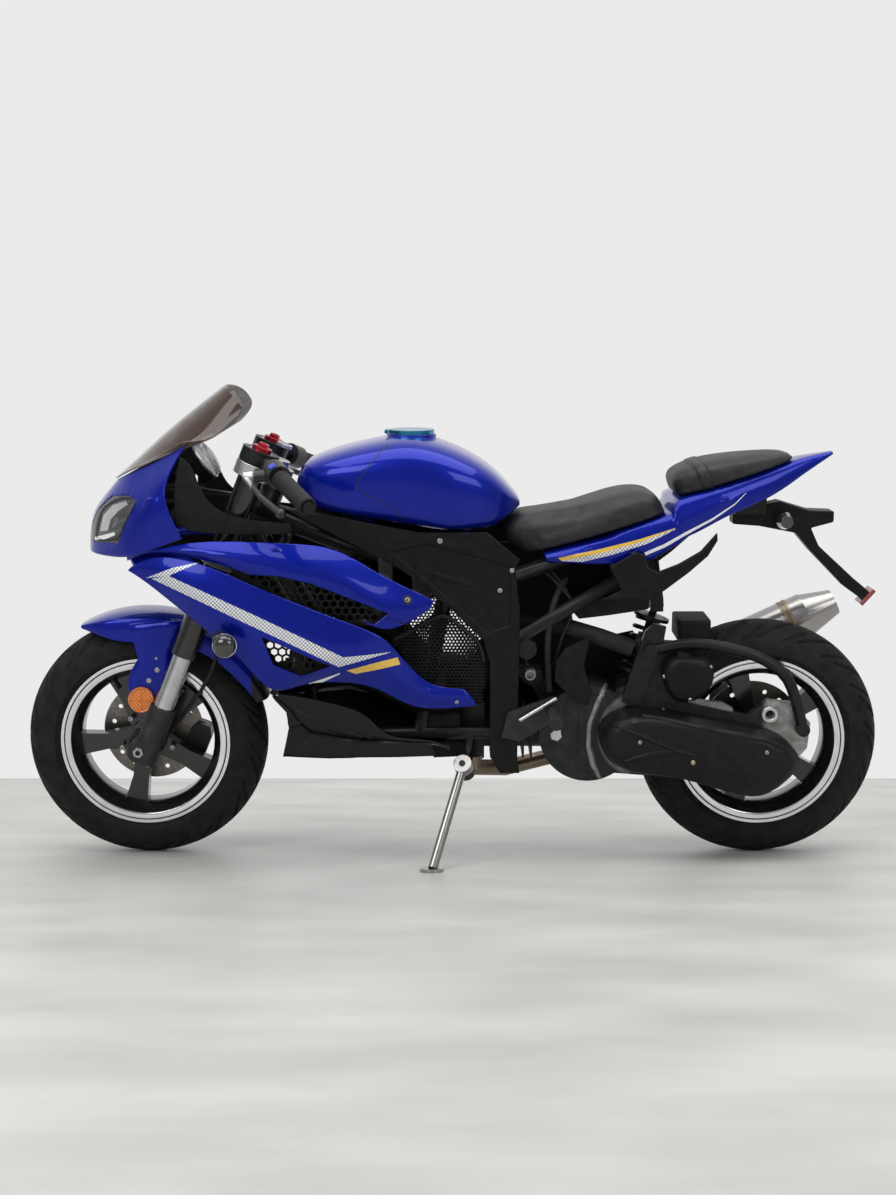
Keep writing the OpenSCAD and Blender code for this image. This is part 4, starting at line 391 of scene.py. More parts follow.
def lever_and_switch():
    """Black switch housings, with bare metal on the levers before them."""
    m = Mat("lever_and_switch")
    fore = m.between(m.along(m.where, (1, 0, 0)), LEVER_FROM, LEVER_TO)
    dark = m.tones(60, 3, (0.010, 0.010, 0.011), (0.022, 0.022, 0.023))
    bright = m.tones(80, 3, (0.42, 0.42, 0.43), (0.60, 0.60, 0.61))
    m.set("Base Color", m.mix(fore, dark, bright))
    m.set("Metallic", fore)
    m.rough(150, 0.26, 0.42)
    return m.mat


def pipe_steel():
    m = Mat("pipe_steel", Metallic=1.0)
    m.set("Base Color", m.mix(m.noise(26, 4), (0.16, 0.11, 0.07), (0.36, 0.30, 0.23)))
    m.rough(120, 0.3, 0.5)
    return m.mat


def belly_weave():
    m = Mat("belly_weave", Coat_Weight=0.15, Coat_Roughness=0.25, Specular_IOR_Level=0.2)
    weft = m.math("MULTIPLY", m.waves(150.0, 0.4, "X"), m.waves(150.0, 0.4, "Z"))
    m.set("Base Color", m.ramp(weft, (0.1, (0.006, 0.006, 0.006)), (0.8, (0.015, 0.0145, 0.0145))))
    m.rough(80, 0.36, 0.5)
    m.bump(weft, 0.15, 0.0005)
    return m.mat


DOTS, AMBER, ENGINE, GRASP = halftone(), amber_lens(), engine_case(), lever_and_switch()
STAIN, WEAVE = pipe_steel(), belly_weave()


# Pieces

def shown(name, me, body, material, replaces=()):
    o = linked(name, me)
    me.materials.clear()
    me.materials.append(material)
    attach(o, body)
    if replaces:
        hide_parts(*replaces)
    return o


def solid(name, verts, faces, body, material, slot=None, sharp=35, replaces=()):
    """A piece from points of the bike's frame in mm."""
    me = bpy.data.meshes.new(name)
    me.from_pydata([tuple(p) for p in world(verts)], [], [tuple(f) for f in faces])
    me.update()
    me.shade_smooth()
    me.set_sharp_from_angle(angle=math.radians(sharp))
    return shown(name, me, body, material, replaces)


def joined(parts):
    verts, faces = [], []
    base = 0
    for v, f in parts:
        verts.append(np.asarray(v, float).reshape(-1, 3))
        faces += [tuple(base + k for k in face) for face in f]
        base += len(verts[-1])
    return np.concatenate(verts), faces


def mirrored(verts, faces):
    v = np.array(verts, float)
    v[:, 1] *= -1
    return v, [tuple(reversed(f)) for f in faces]


def both_sides(*parts):
    return joined([*parts, *(mirrored(*q) for q in parts)])


def grid_faces(rows, cols, rows_close=False, cols_close=False):
    """Faces of a grid of points, whose last row or column may join its first."""
    faces = []
    for i in range(rows - 1 + rows_close):
        here, there = i * cols, (i + 1) % rows * cols
        for j in range(cols - 1 + cols_close):
            j2 = (j + 1) % cols
            faces.append((here + j, here + j2, there + j2, there + j))
    return faces


def flipped(faces):
    return [(a, d, c, b) for a, b, c, d in faces]


def sheet(name, lines, material, slot, thick):
    """A thin sheet through lines of points on one side of the bike, and its twin on the other."""
    grid = np.concatenate(lines), grid_faces(len(lines), len(lines[0]))
    o = solid(name, *both_sides(grid), "chassis", material, slot)
    modified(o, "thick", "SOLIDIFY", thickness=thick / 1000)
    return o


SHARP, CREASE = math.radians(38), 0.9


def dress(node, material, bevel, levels):
    """The CAD node's own form with its edges rounded and its facets smoothed."""
    bm = bmesh.new()
    bm.from_mesh(NODES[node].data)
    bmesh.ops.remove_doubles(bm, verts=bm.verts, dist=2e-5)
    bmesh.ops.dissolve_degenerate(bm, edges=bm.edges, dist=1e-6)
    if levels:
        bmesh.ops.join_triangles(bm, faces=bm.faces, angle_face_threshold=math.radians(50),
                                 angle_shape_threshold=math.radians(60))
        layer = bm.edges.layers.float.new("crease_edge")
        for e in bm.edges:
            if len(e.link_faces) != 2 or e.calc_face_angle(0) > SHARP:
                e[layer] = CREASE
    else:
        bmesh.ops.dissolve_limit(bm, angle_limit=math.radians(0.5), verts=bm.verts, edges=bm.edges)
    me = bpy.data.meshes.new(node + "_form")
    bm.to_mesh(me)
    bm.free()
    me.shade_smooth()
    if not levels:
        me.set_sharp_from_angle(angle=SHARP)
    o = shown(node + "_form", me, BODY[node], material, (node,))
    if levels:
        modified(o, "round", "SUBSURF", levels=levels, render_levels=levels)
    if bevel:
        modified(o, "edges", "BEVEL", width=bevel / 1000, segments=2, limit_method="ANGLE",
                 angle_limit=math.radians(40), harden_normals=True)
    return o


# Each node's material, bevel in mm and levels of rounding
LOOKS = {
    "main_frame": (FRAME, 0, 0), "frame_covers": (BLACK, 2.0, 0), "fuel_tank": (BLUE, 0, 2),
    "filler_cap": (TEAL, 1.5, 0), "nose_fairing": (LINED, 0, 2), "headlamps": (CLEAR, 0, 2),
    "windscreen": (TINT, 0, 2), "cockpit_panels": (MATT, 0, 2), "instrument": (BLACK, 2.0, 0),
    "side_fairings": (LINED, 0, 2), "fairing_wings": (LINED, 0, 2), "vent_grilles": (BLACK, 0, 0),
    "belly_pan": (WEAVE, 0, 2), "tail_cowl": (LINED, 0, 2), "tail_lamp": (LAMP_RED, 2.5, 0),
    "plate_hanger": (BLACK, 3.0, 0), "indicators": (SMOKE, 1.5, 0), "tail_fins": (BLACK, 2.5, 0),
    "engine_block": (ENGINE, 0.8, 0), "drive_case": (CHARCOAL, 1.5, 0), "air_filter_case": (BLACK, 2.0, 0),
    "exhaust_pipe": (STAIN, 0.5, 0), "muffler": (STEEL, 1.0, 0), "rear_shock": (FRAME, 0.6, 0),
    "rear_hoop": (FRAME, 0.8, 0), "foot_pegs": (CASE, 0.8, 0), "rear_axle": (ALLOY, 1.2, 0),
    "triple_clamps": (SILVER, 1.5, 0), "fork_tubes": (GLOSS, 1.0, 0), "fork_sliders": (CHROME, 0.6, 0),
    "fork_feet": (CASE, 1.2, 0), "front_fender": (FENDER, 0, 2), "front_caliper": (CASE, 1.2, 0),
    "handlebars": (FRAME, 1.2, 0), "grips": (RUBBER, 1.5, 0), "controls": (GRASP, 1.5, 0),
    "fork_reflectors": (AMBER, 2.0, 0), "front_rim": (GLOSS, 1.2, 0), "front_disc": (DISC, 0.4, 0),
    "rear_rim": (GLOSS, 1.2, 0), "rear_disc": (DISC, 0.4, 0), "side_stand": (STEEL, 1.0, 0),
    "inner_covers": (MATT, 1.5, 0), "intake": (RUBBER, 1.0, 0), "speedo_cable": (RUBBER, 0.6, 0),
}
FORM = {node: dress(node, *look) for node, look in LOOKS.items()}

# Tyres: sipes by start, reach along the arc, lean, bend, half width and depth, and rings on the walls
TREAD_STEPS, SECTION_STEPS, SIPE_ROUNDS = 744, 72, 16
SECTION_ARC, SHOULDER, SIPE_EDGE, TAPER_IN, TAPER_OUT = 94, 60, 1.2, 6, 8
SIPES = ((0.0, 5, 58, 0.75, 0.012, 3.6, 4.2), (0.5, 26, 64, 0.5, 0.010, 3.0, 3.6),
         (0.27, 10, 30, -0.9, 0.0, 2.2, 3.0))
WALL_RINGS = ((0.48, 78, 1.6), (0.36, 70, 1.0))
BEAD = ((168.3, 47.3), (168.3, 38.7), (152.8, 38.7), (152.8, -38.7), (168.3, -38.7), (168.3, -47.3))


def revolved(profiles, hub_x, angles):
    """Closed profiles of radius and offset pairs, each at its own angle about a wheel's axle."""
    x = hub_x + profiles[..., 0] * np.cos(angles)[:, None]
    z = AXLE_Z + profiles[..., 0] * np.sin(angles)[:, None]
    verts = np.stack([x, profiles[..., 1], z], -1).reshape(-1, 3)
    return verts, grid_faces(len(angles), profiles.shape[1], True, True)


def treaded(name, node, hub_x, body, turn):
    """A tyre of the CAD form with sipes cut in its crown."""
    u = np.linspace(0, 2 * math.pi, TREAD_STEPS, endpoint=False)
    a = np.linspace(-math.pi / 2, math.pi / 2, SECTION_STEPS)
    U, A = np.meshgrid(u, a, indexing="ij")
    arc = np.abs(np.degrees(A) / 90 * SECTION_ARC)
    pitch = 2 * math.pi * AXLE_Z / SIPE_ROUNDS
    side = np.where(A > 0, 0.0, pitch / 2)
    cut = np.zeros_like(U)
    for start, lo, hi, lean, bend, wide, deep in SIPES:
        line = start * pitch + lean * arc + bend * arc * arc * np.sign(lean) + side
        off = (U * AXLE_Z - line + pitch / 2) % pitch - pitch / 2
        dist = np.abs(off) / np.sqrt(1 + (lean + 2 * bend * arc) ** 2)
        taper = np.clip((arc - lo) / TAPER_IN, 0, 1) * np.clip((hi - arc) / TAPER_OUT, 0, 1)
        depth = deep * np.clip((wide * np.sqrt(taper) - dist) / SIPE_EDGE, 0, 1) * (taper > 0)
        cut = np.maximum(cut, depth)
    ridge = sum(tall * np.exp(-((arc - mid) / wide) ** 2) for tall, mid, wide in WALL_RINGS)
    rad = CROWN - cut + np.where(arc > SHOULDER, ridge, 0)
    ring = np.stack([AXLE_Z - CROWN + rad * np.cos(A), rad * np.sin(A)], -1)
    profiles = np.concatenate([ring, np.tile(BEAD, (TREAD_STEPS, 1, 1))], 1)
    solid(name, *revolved(profiles, hub_x, u + turn), body, TYRE, "tyre", 50, (node,))


treaded("front_tyre_tread", "front_tyre", 0, "front_wheel", 0.1)
treaded("rear_tyre_tread", "rear_tyre", WHEELBASE, "rear_wheel", 0.3)


# Bright lips on the rims, as radius and offset
RIM_LIP = ((147, 46.6), (149, 47.9), (158, 48.0), (158.6, 47.0), (160.4, 47.0), (161, 48.1),
           (166.5, 48.4), (168, 47.4), (167, 46.5))
LIP_SEGS = 96
lip_angles = np.linspace(0, 2 * math.pi, LIP_SEGS, endpoint=False)
for body, x in WHEELS:
    lips = [np.tile(np.array(RIM_LIP) * (1, side), (LIP_SEGS, 1, 1)) for side in (-1, 1)]
    solid(body + "_lip", *joined([revolved(lip, x, lip_angles) for lip in lips]), body, POLISH, "rim_black")

# Seats
SEAT_VOXEL, SEAT_FILL, SEAT_CAP, SEAT_SHRINK = 0.006, 0.75, 6, 3.5
HELD_PERCENT, HELD_RISE, BLOW_FRAMES = 2, 7, 20


def evaluated_mesh(o):
    return bpy.data.meshes.new_from_object(o.evaluated_get(bpy.context.evaluated_depsgraph_get()))


def read(me, what):
    got = np.empty(len(me.vertices) * 3)
    me.vertices.foreach_get(what, got)
    return got.reshape(-1, 3)


def blown(o, start, held):
    """Where cloth pressure takes the points, none further than the cap."""
    group = o.vertex_groups.new(name="held")
    group.add([int(k) for k in np.nonzero(held)[0]], 1.0, "REPLACE")
    mod = o.modifiers.new("cloth", "CLOTH")
    c = mod.settings
    c.quality, c.mass = 5, 0.3
    c.tension_stiffness = c.compression_stiffness = 18
    c.shear_stiffness, c.bending_stiffness = 8, 1.5
    c.use_pressure, c.uniform_pressure_force = True, 4.0
    c.effector_weights.gravity = 0
    c.vertex_group_mass = "held"
    mod.point_cache.frame_start, mod.point_cache.frame_end = 1, BLOW_FRAMES
    for f in range(1, BLOW_FRAMES + 1):
        bpy.context.scene.frame_set(f)
    me = evaluated_mesh(o)
    step = read(me, "co") - start
    length = np.linalg.norm(step, axis=1, keepdims=True)
    o.modifiers.clear()
    o.vertex_groups.clear()
    bpy.data.meshes.remove(me)
    bpy.context.scene.frame_set(1)
    return start + step * np.minimum(1.0, SEAT_CAP / 1000 / np.maximum(length, 1e-9))


def cushion(node):
    """The CAD form blown up by cloth pressure from a slightly smaller shape, its underside held."""
    o = linked(node + "_cushion", NODES[node].data.copy())
    modified(o, "remesh", "REMESH", mode="VOXEL", voxel_size=SEAT_VOXEL)
    bpy.context.view_layer.update()
    me = evaluated_mesh(o)
    o.modifiers.clear()
    o.data = me
    full = read(me, "co")
    high = in_tail(bike(full))[:, 2]
    held = high < np.percentile(high, HELD_PERCENT) + HELD_RISE
    start = full - read(me, "normal") * np.where(held, 0.0, SEAT_SHRINK)[:, None] / 1000
    me.vertices.foreach_set("co", start.ravel())
    me.vertices.foreach_set("co", blown(o, start, held).ravel())
    bm = bmesh.new()
    bm.from_mesh(me)
    for _ in range(3):
        bmesh.ops.smooth_vert(bm, verts=[v for v in bm.verts if not held[v.index]], factor=0.5,
                              use_axis_x=True, use_axis_y=True, use_axis_z=True)
    bm.to_mesh(me)
    bm.free()
    me.materials.clear()
    me.materials.append(SEAT)
    me.shade_smooth()
    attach(o, BODY[node])
    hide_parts(node)
    modified(o, "round", "SUBSURF", levels=1, render_levels=1)
    FORM[node] = o


cushion("rider_seat")
cushion("pillion_seat")

# Places found on the forms by the photograph's pixels

TREES = {}
bpy.context.view_layer.update()
GRAPH = bpy.context.evaluated_depsgraph_get()


def struck(origin, way, nodes):
    best = None
    for n in nodes:
        if n not in TREES:
            TREES[n] = BVHTree.FromObject(FORM[n], GRAPH)
        p, nor, _, dist = TREES[n].ray_cast(origin, way)
        if p is not None and (best is None or dist < best[2]):
            best = (p, -nor if nor.dot(way) > 0 else nor, dist)
    return best


def at_pixel(px, py, *nodes):
    """World point and normal of the form that the camera sees at a pixel."""
    return struck(EYE, ray(px, py), nodes)


def seat_at(px, py, *nodes):
    """Point of the bike's frame, and the way out of the form there, that the camera sees at a pixel."""
    p, out, _ = at_pixel(px, py, *nodes)
    return bike([p])[0], bike([out])[0] - bike([(0, 0, 0)])[0]


def on_plane(px, py, y):
    """Point of the bike's frame where a pixel's line of sight meets a plane along the bike."""
    a, b = bike([EYE])[0], bike([EYE + ray(px, py)])[0]
    return a + (b - a) * (y - a[1]) / (b[1] - a[1])


def resample(line, count):
    p = np.array(line, float)
    d = np.concatenate([[0], np.cumsum(np.linalg.norm(np.diff(p, axis=0), axis=1))])
    t = np.linspace(0, d[-1], count)
    return np.stack([np.interp(t, d, p[:, k]) for k in range(p.shape[1])], 1)


BAND_STEPS, FACE_MAX = 24, 40


def band(line, width):
    """Two lines of pixels on both sides of one, as far apart as the widths along it say."""
    p = resample(line, BAND_STEPS)
    t = np.gradient(p, axis=0)
    n = np.stack([-t[:, 1], t[:, 0]], 1) / np.linalg.norm(t, axis=1, keepdims=True)
    w = np.interp(np.linspace(0, 1, BAND_STEPS), np.linspace(0, 1, len(width)), width)[:, None] / 2
    return p - n * w, p + n * w


def ribbon(name, upper, lower, node, material, slot, lift=0.35, long=72, wide=4, both=True, arc=0.0):
    """A thin film on a form between two lines of pixels, and its twin on the other side."""
    a, b = resample(upper, long), resample(lower, long)
    verts = {}
    for i in range(long):
        for j in range(wide + 1):
            t = j / wide
            hit = at_pixel(*(a[i] * (1 - t) + b[i] * t), node)
            if hit:
                p = hit[0] + hit[1] * (lift + arc * 4 * t * (1 - t)) / 1000
                verts[i * (wide + 1) + j] = bike([p])[0]
    faces = []
    for quad in flipped(grid_faces(long, wide + 1)):
        if all(q in verts for q in quad):
            pts = np.array([verts[q] for q in quad])
            if np.linalg.norm(pts.max(0) - pts.min(0)) < FACE_MAX:
                faces.append(quad)
    used = sorted({q for quad in faces for q in quad})
    index = {q: i for i, q in enumerate(used)}
    film = np.array([verts[q] for q in used]), [tuple(index[q] for q in quad) for quad in faces]
    solid(name, *(both_sides(film) if both else film), BODY[node], material, slot)


# Stripes, as upper and lower lines of pixels
CHEVRON_PX = (
    ([(199.3, 561.6), (172, 567.5), (145.7, 577.5)], [(199.3, 562.2), (183, 569), (168.5, 575.6)]),
    ([(168.5, 575.3), (256, 615.5), (343.3, 656.8)], [(152, 578.2), (245, 622.5), (338.8, 666.6)]),
    ([(343.3, 656.8), (366, 654.6), (390.1, 651.5)], [(338.8, 666.6), (364, 659.6), (390.1, 652.0)]))
SIDE_GOLD_PX = ([(346.6, 670.0), (372, 663.2), (397.5, 656.8)], [(355.5, 673.3), (378, 669), (400.2, 663.9)])
LOW_EDGE_PX = [(268.5, 690.7), (284, 691.2), (299.7, 687.4), (322, 680.2), (339.9, 672.9)]
TAIL_GOLD_PX = ([(558, 557.5), (600, 548.6), (640, 538.6), (675, 527.6)],
                [(562, 560.6), (602, 552.2), (641, 541.4), (675, 528.2)])
TAIL_DOTS_PX = (TAIL_GOLD_PX[1], [(582, 561.4), (612, 554.4), (648, 543.0), (675, 529.0)])
TANK_SEAM_PX = [(387, 444.5), (371, 463), (356, 482.7), (363.3, 493.6), (381, 501), (397.2, 509.4),
                (401.5, 520.3)]
for k, lines in enumerate(CHEVRON_PX):
    ribbon("side_stripe_%d" % k, *lines, "side_fairings", DOTS, "paint_blue", long=90)
ribbon("side_stripe_gold", *SIDE_GOLD_PX, "side_fairings", GOLD, "paint_blue")
ribbon("low_stripe_0", *band(LOW_EDGE_PX, [0.6, 3, 3.4, 3, 1]), "side_fairings", WHITE, "paint_blue")
ribbon("tail_stripe_gold", *TAIL_GOLD_PX, "tail_cowl", GOLD, "paint_blue", long=90)
ribbon("tail_stripe_dots", *TAIL_DOTS_PX, "tail_cowl", DOTS, "paint_blue", long=90)
ribbon("tank_seam", *band(TANK_SEAM_PX, [1.0, 1.0]), "fuel_tank", SEAM, "paint_blue", 0.25, 120, 2)

# Dark channel between the nose and the side panels, closed behind their edges
CHANNEL_PX = {"nose_fairing": [(112, 544), (124, 547), (138, 549), (152, 548), (166, 546), (182, 543)],
              "side_fairings": [(131, 570), (138, 566.5), (148, 563), (160, 561.5), (176, 562), (198, 566)]}
CHANNEL_INSET, CHANNEL_DEPTH, CHANNEL_STEPS = (5, 9, 0), (6, 26, 0), 24


def channel_edge(node):
    hits = [at_pixel(px, py, node) for px, py in resample(CHANNEL_PX[node], 16)]
    return resample([bike([hit[0]])[0] + CHANNEL_INSET for hit in hits if hit], CHANNEL_STEPS)


a, b = channel_edge("nose_fairing"), channel_edge("side_fairings")
mid = (a + b) / 2 + CHANNEL_DEPTH
bend = [a * (1 - t) ** 2 + mid * 2 * t * (1 - t) + b * t ** 2 for t in np.linspace(0, 1, 9)]
sheet("beak_channel", bend, BLUE, "paint_blue", 2)

# Strap across the pillion seat, its section as shares of the width and lifts
STRAP_PX, STRAP_W, STRAP_REACH = ((709, 487), (693, 461)), 24, 260
STRAP_FROM_DEG, STRAP_TURN_DEG, STRAP_STEPS = -8, 196, 60
STRAP_SECTION = ((-0.5, 0.2), (-0.47, 1.6), (-0.4, 2.0), (-0.38, 1.2), (-0.36, 2.0), (0, 2.1),
                 (0.36, 2.0), (0.38, 1.2), (0.4, 2.0), (0.47, 1.6), (0.5, 0.2))


def strap(node):
    low, top = in_tail(bike([at_pixel(*px, node)[0] for px in STRAP_PX]))
    rows = []
    for k in range(STRAP_STEPS + 1):
        a = math.radians(STRAP_FROM_DEG + STRAP_TURN_DEG * k / STRAP_STEPS)
        line = []
        for share, lift in STRAP_SECTION:
            x = low[0] + (top[0] - low[0]) * max(math.sin(a), 0) + share * STRAP_W
            y, z = math.cos(a) * STRAP_REACH, low[2] + math.sin(a) * STRAP_REACH
            goal, start = (Vector(p) for p in world(tail([(x, 0, low[2]), (x, y, z)])))
            hit = struck(start, (goal - start).normalized(), [node])
            if hit:
                line.append(bike([hit[0] + hit[1] * lift / 1000])[0])
        if len(line) == len(STRAP_SECTION):
            rows.append(line)
    faces = grid_faces(len(rows), len(STRAP_SECTION))
    solid("seat_strap", np.array(rows).reshape(-1, 3), faces, BODY[node], SEAT, "seat_black", 60)


strap("pillion_seat")

# Screws, nuts and other small hardware, gathered by body and material

HARD = {}
STUD_ROOT = -1.5


def square_to(axis):
    """The unit axis and two unit ways square to it."""
    n = np.array(axis, float) / np.linalg.norm(axis)
    u = np.cross(n, (0.3, 0.2, 1.0))
    u /= np.linalg.norm(u)
    return n, u, np.cross(n, u)


def stud(p, axis, r, h, material, body, sides=24, socket=0.5, twin=True, dome=0.25):
    """A round or six-sided head with a socket, at a point of the bike's frame, facing along an axis."""
    n, u, w = square_to(axis)
    rings = [(r, STUD_ROOT), (r, h * (1 - dome)), (r * (1 - dome * 0.6), h)]
    if socket:
        rings += [(r * socket, h), (r * socket * 0.96, h * 0.25)]
    t = np.linspace(0, 2 * math.pi, sides, endpoint=False)
    verts = [np.array(p) + u * rr * math.cos(x) + w * rr * math.sin(x) + n * z for rr, z in rings for x in t]
    faces = grid_faces(len(rings), sides, False, True)
    faces.append(tuple((len(rings) - 1) * sides + i for i in range(sides)))
    got = HARD.setdefault((body, material.name), [])
    got.append((np.array(verts), faces))
    if twin:
        got.append(mirrored(verts, faces))


def stud_at(px, node, r, h, material, **more):
    stud(*seat_at(*px, node), r, h, material, BODY[node], **more)


# Screws by pixel, node and radius
SCREWS = (((439.9, 540.5), "frame_covers", 5), ((407.5, 599.6), "fairing_wings", 4.5),
          ((156.4, 657.7), "front_fender", 3), ((157.3, 669.5), "front_fender", 5),
          ((149, 680.2), "front_fender", 5), ((456.6, 701.4), "side_fairings", 4),
          ((500, 590), "frame_covers", 4.5), ((512, 570), "frame_covers", 4.5))
WASHER_PX, BUTTON_PX, DRAIN_PX, CASE_DIMPLE_PX = (407.5, 599.6), (272, 466.5), (693, 762), (634.1, 720.2)
CASE_SCREWS_PX = ((663.6, 708.6), (767, 752), (640, 742))
FILTER_SCREWS_PX = ((711.2, 666.3), (664, 676), (690, 699))
for px, node, r in SCREWS:
    stud_at(px, node, r, 2.2, BOLT)
stud_at(WASHER_PX, "fairing_wings", 9, 0.9, SEAM, socket=0)
stud_at(BUTTON_PX, "controls", 7, 4, BUTTON, twin=False, socket=0)
stud_at(DRAIN_PX, "drive_case", 4.5, 3, BRASS, twin=False)
for px in CASE_SCREWS_PX:
    stud_at(px, "drive_case", 4, 2.5, BOLT, twin=False)
# A shallow cup where the case has a dimple, its near-black colour painted shade in the dimple
stud_at(CASE_DIMPLE_PX, "drive_case", 8, 1.0, SEAM, twin=False, socket=0.8)
for px in FILTER_SCREWS_PX:
    stud_at(px, "air_filter_case", 4, 3, BOLT, twin=False)

# Ridges moulded on the drive case, as a line of pixels, its widths and the height
CASE_RIDGES_PX = (
    ([(642.9, 714.4), (686, 722.5), (735.8, 733.5), (765.6, 739), (785, 749)], [3, 6, 9, 8, 2], 3.5),
    ([(610, 724), (640, 735), (668, 747), (690, 752)], [1.5, 3, 3, 1], 2.5),
    ([(625, 760), (652, 755), (676, 750.5), (697, 755)], [2, 7, 6, 2], 3.5))
for k, (line, width, tall) in enumerate(CASE_RIDGES_PX):
    ribbon("case_ridge_%d" % k, *band(line, width), "drive_case", CHARCOAL, SLOTS["drive_case"],
           0.1, 60, 6, False, tall)

# Hubs: five bolts to a side, and the front axle's nut and washer
HUB_BOLTS, HUB_TURN_DEG = 5, {"front_wheel": 54, "rear_wheel": 30}
HUB_R, HUB_Y, DISC_R, DISC_Y = 52, -30.5, 36, 50
NUT_Y, WASHER_Y = -122, -122.5
for body, x in WHEELS:
    for k in range(HUB_BOLTS):
        a = math.radians(360 / HUB_BOLTS * k + HUB_TURN_DEG[body])
        for r, y, wide, tall in ((HUB_R, HUB_Y, 6, 4), (DISC_R, DISC_Y, 5, 3)):
            at = (x + r * math.cos(a), y, AXLE_Z + r * math.sin(a))
            stud(at, (0, math.copysign(1, y), 0), wide, tall, BOLT, body, 6, twin=False)
stud((0, NUT_Y, AXLE_Z), (0, -1, 0), 12, 9, BOLT, "steering", 6, socket=0.45)
stud((0, WASHER_Y, AXLE_Z), (0, -1, 0), 15, 2, BOLT, "steering", 32, socket=0)

# Fork caps and the stem's nut
FORK_X, FORK_Y, CAP_Z, STEM_X, STEM_Z = 12, 100, 629.5, 42, 640
CAP_TALL, STEM_TALL = 10.5, 10
for y in (-FORK_Y, FORK_Y):
    cap, top = fork([(FORK_X, y, CAP_Z), (FORK_X, y, CAP_Z + CAP_TALL)])
    stud(cap, top - cap, 19, 7, RED, "steering", 32, socket=0, twin=False, dome=0.15)
    stud(cap + (top - cap) * 0.6, top - cap, 11, 8, RED, "steering", 6, socket=0.55, twin=False)
nut, top = fork([(STEM_X, 0, STEM_Z), (STEM_X, 0, STEM_Z + STEM_TALL)])
stud(nut, top - nut, 17, 6, SILVER, "steering", 6, socket=0.6, twin=False)


# Shapes swept and turned in the bike's frame

def curve(line, steps=8):
    """A smooth line through the points."""
    p = np.array(line, float)
    p = np.concatenate([[2 * p[0] - p[1]], p, [2 * p[-1] - p[-2]]])
    out = []
    for a, b, c, d in zip(p, p[1:], p[2:], p[3:]):
        for t in np.arange(steps) / steps:
            out.append(b + 0.5 * t * (c - a + t * (2 * a - 5 * b + 4 * c - d + t * (3 * (b - c) + d - a))))
    return np.array(out + [p[-2]])


def tube(line, radius, sides=14):
    p = curve(line)
    t = np.gradient(p, axis=0)
    t /= np.linalg.norm(t, axis=1, keepdims=True)
    u = np.cross(t, (0.13, 1.0, 0.21))
    u /= np.linalg.norm(u, axis=1, keepdims=True)
    w = np.cross(t, u)
    a = np.linspace(0, 2 * math.pi, sides, endpoint=False)[None, :, None]
    v = (p[:, None] + radius * (u[:, None] * np.cos(a) + w[:, None] * np.sin(a))).reshape(-1, 3)
    n = len(p)
    ends = [tuple(range(sides))[::-1], tuple(range((n - 1) * sides, n * sides))]
    return v, grid_faces(n, sides, False, True) + ends


def turned(profile, at, axis, segs=48):
    """A profile of radius and height pairs turned about a line."""
    n, u, w = square_to(axis)
    p = np.array(profile, float)
    a = np.linspace(0, 2 * math.pi, segs, endpoint=False)[:, None]
    out = u[None] * np.cos(a) + w[None] * np.sin(a)
    v = np.array(at) + out[:, None] * p[None, :, :1] + n * p[None, :, 1:]
    return v.reshape(-1, 3), flipped(grid_faces(segs, len(p), True))


# Black skins: above the belly pan, under the tank and before the frame cover
BELLY_GAP_PX = [(273, 692.6), (313, 692), (340, 690), (361, 696), (390, 714), (415, 721), (452, 722)]
TANK_GAP_PX = [(306, 507.5), (316, 511.5), (330, 515), (345, 518.2), (353, 519.6)]
WING_GAP_PX = [(372, 567), (388, 575), (405, 583), (421, 590.5), (431, 595)]
EDGE_STEP_PX, EDGE_TRIES, SKIN_TUCK, SKIN_ROWS, SKIN_T = 0.5, 80, 5, 6, 2


def edge_hit(px, py, step, node):
    """The first point of a form met when a pixel moves up or down."""
    for k in range(EDGE_TRIES):
        hit = at_pixel(px, py + step * k, node)
        if hit:
            return bike([hit[0]])[0]
    return None


def skin(name, gap, upper, lower, material, inset):
    """A black sheet behind the edges of two forms, from a line of pixels in the gap between them."""
    tops, feet = [], []
    for px, py in resample(gap, 40):
        up, down = edge_hit(px, py, -EDGE_STEP_PX, upper), edge_hit(px, py, EDGE_STEP_PX, lower)
        if up is not None and down is not None:
            tops.append(up + (0, inset, SKIN_TUCK))
            feet.append(down + (0, inset, -SKIN_TUCK))
    a, b = np.array(tops), np.array(feet)
    shares = np.linspace(0, 1, SKIN_ROWS)
    lines = [a * (1 - t) + b * t + (0, inset * math.sin(math.pi * t), 0) for t in shares]
    FORM[name] = sheet(name, lines, material, "panel_black", SKIN_T)
    BODY[name] = "chassis"


skin("belly_skin", BELLY_GAP_PX, "side_fairings", "belly_pan", WEAVE, 1.0)
skin("tank_skin", TANK_GAP_PX, "fuel_tank", "frame_covers", BLACK, 4)
skin("wing_skin", WING_GAP_PX, "frame_covers", "fairing_wings", BLACK, 4)

# White stripe on the belly skin
LOW_STRIPE_PX = [(276, 694.5), (306, 691.5), (330, 688.5), (350, 686.5), (368, 691.5)]
bpy.context.view_layer.update()
ribbon("low_stripe_1", *band(LOW_STRIPE_PX, [0.8, 3, 4.2, 4.2, 0.8]), "belly_skin", WHITE, "panel_grey", 0.8)

# Boxes under the seat and behind the side panels, and the bright pedal bar
BATTERY_PX, BATTERY_Y = ((421, 738), (462, 712)), (-86, 40)
BOX_PX, BOX_Y = ((678, 642), (712, 620)), (-58, 40)
BOX_TAPER, BOX_EDGE_SHARE, BOX_BEVEL = 0.9, 0.12, 4.0
PEDAL_PX = [(519.7, 719.9, -150), (532, 712.4, -150), (545, 704.9, -148), (556.4, 697.9, -146)]
PEDAL_R = 3.6


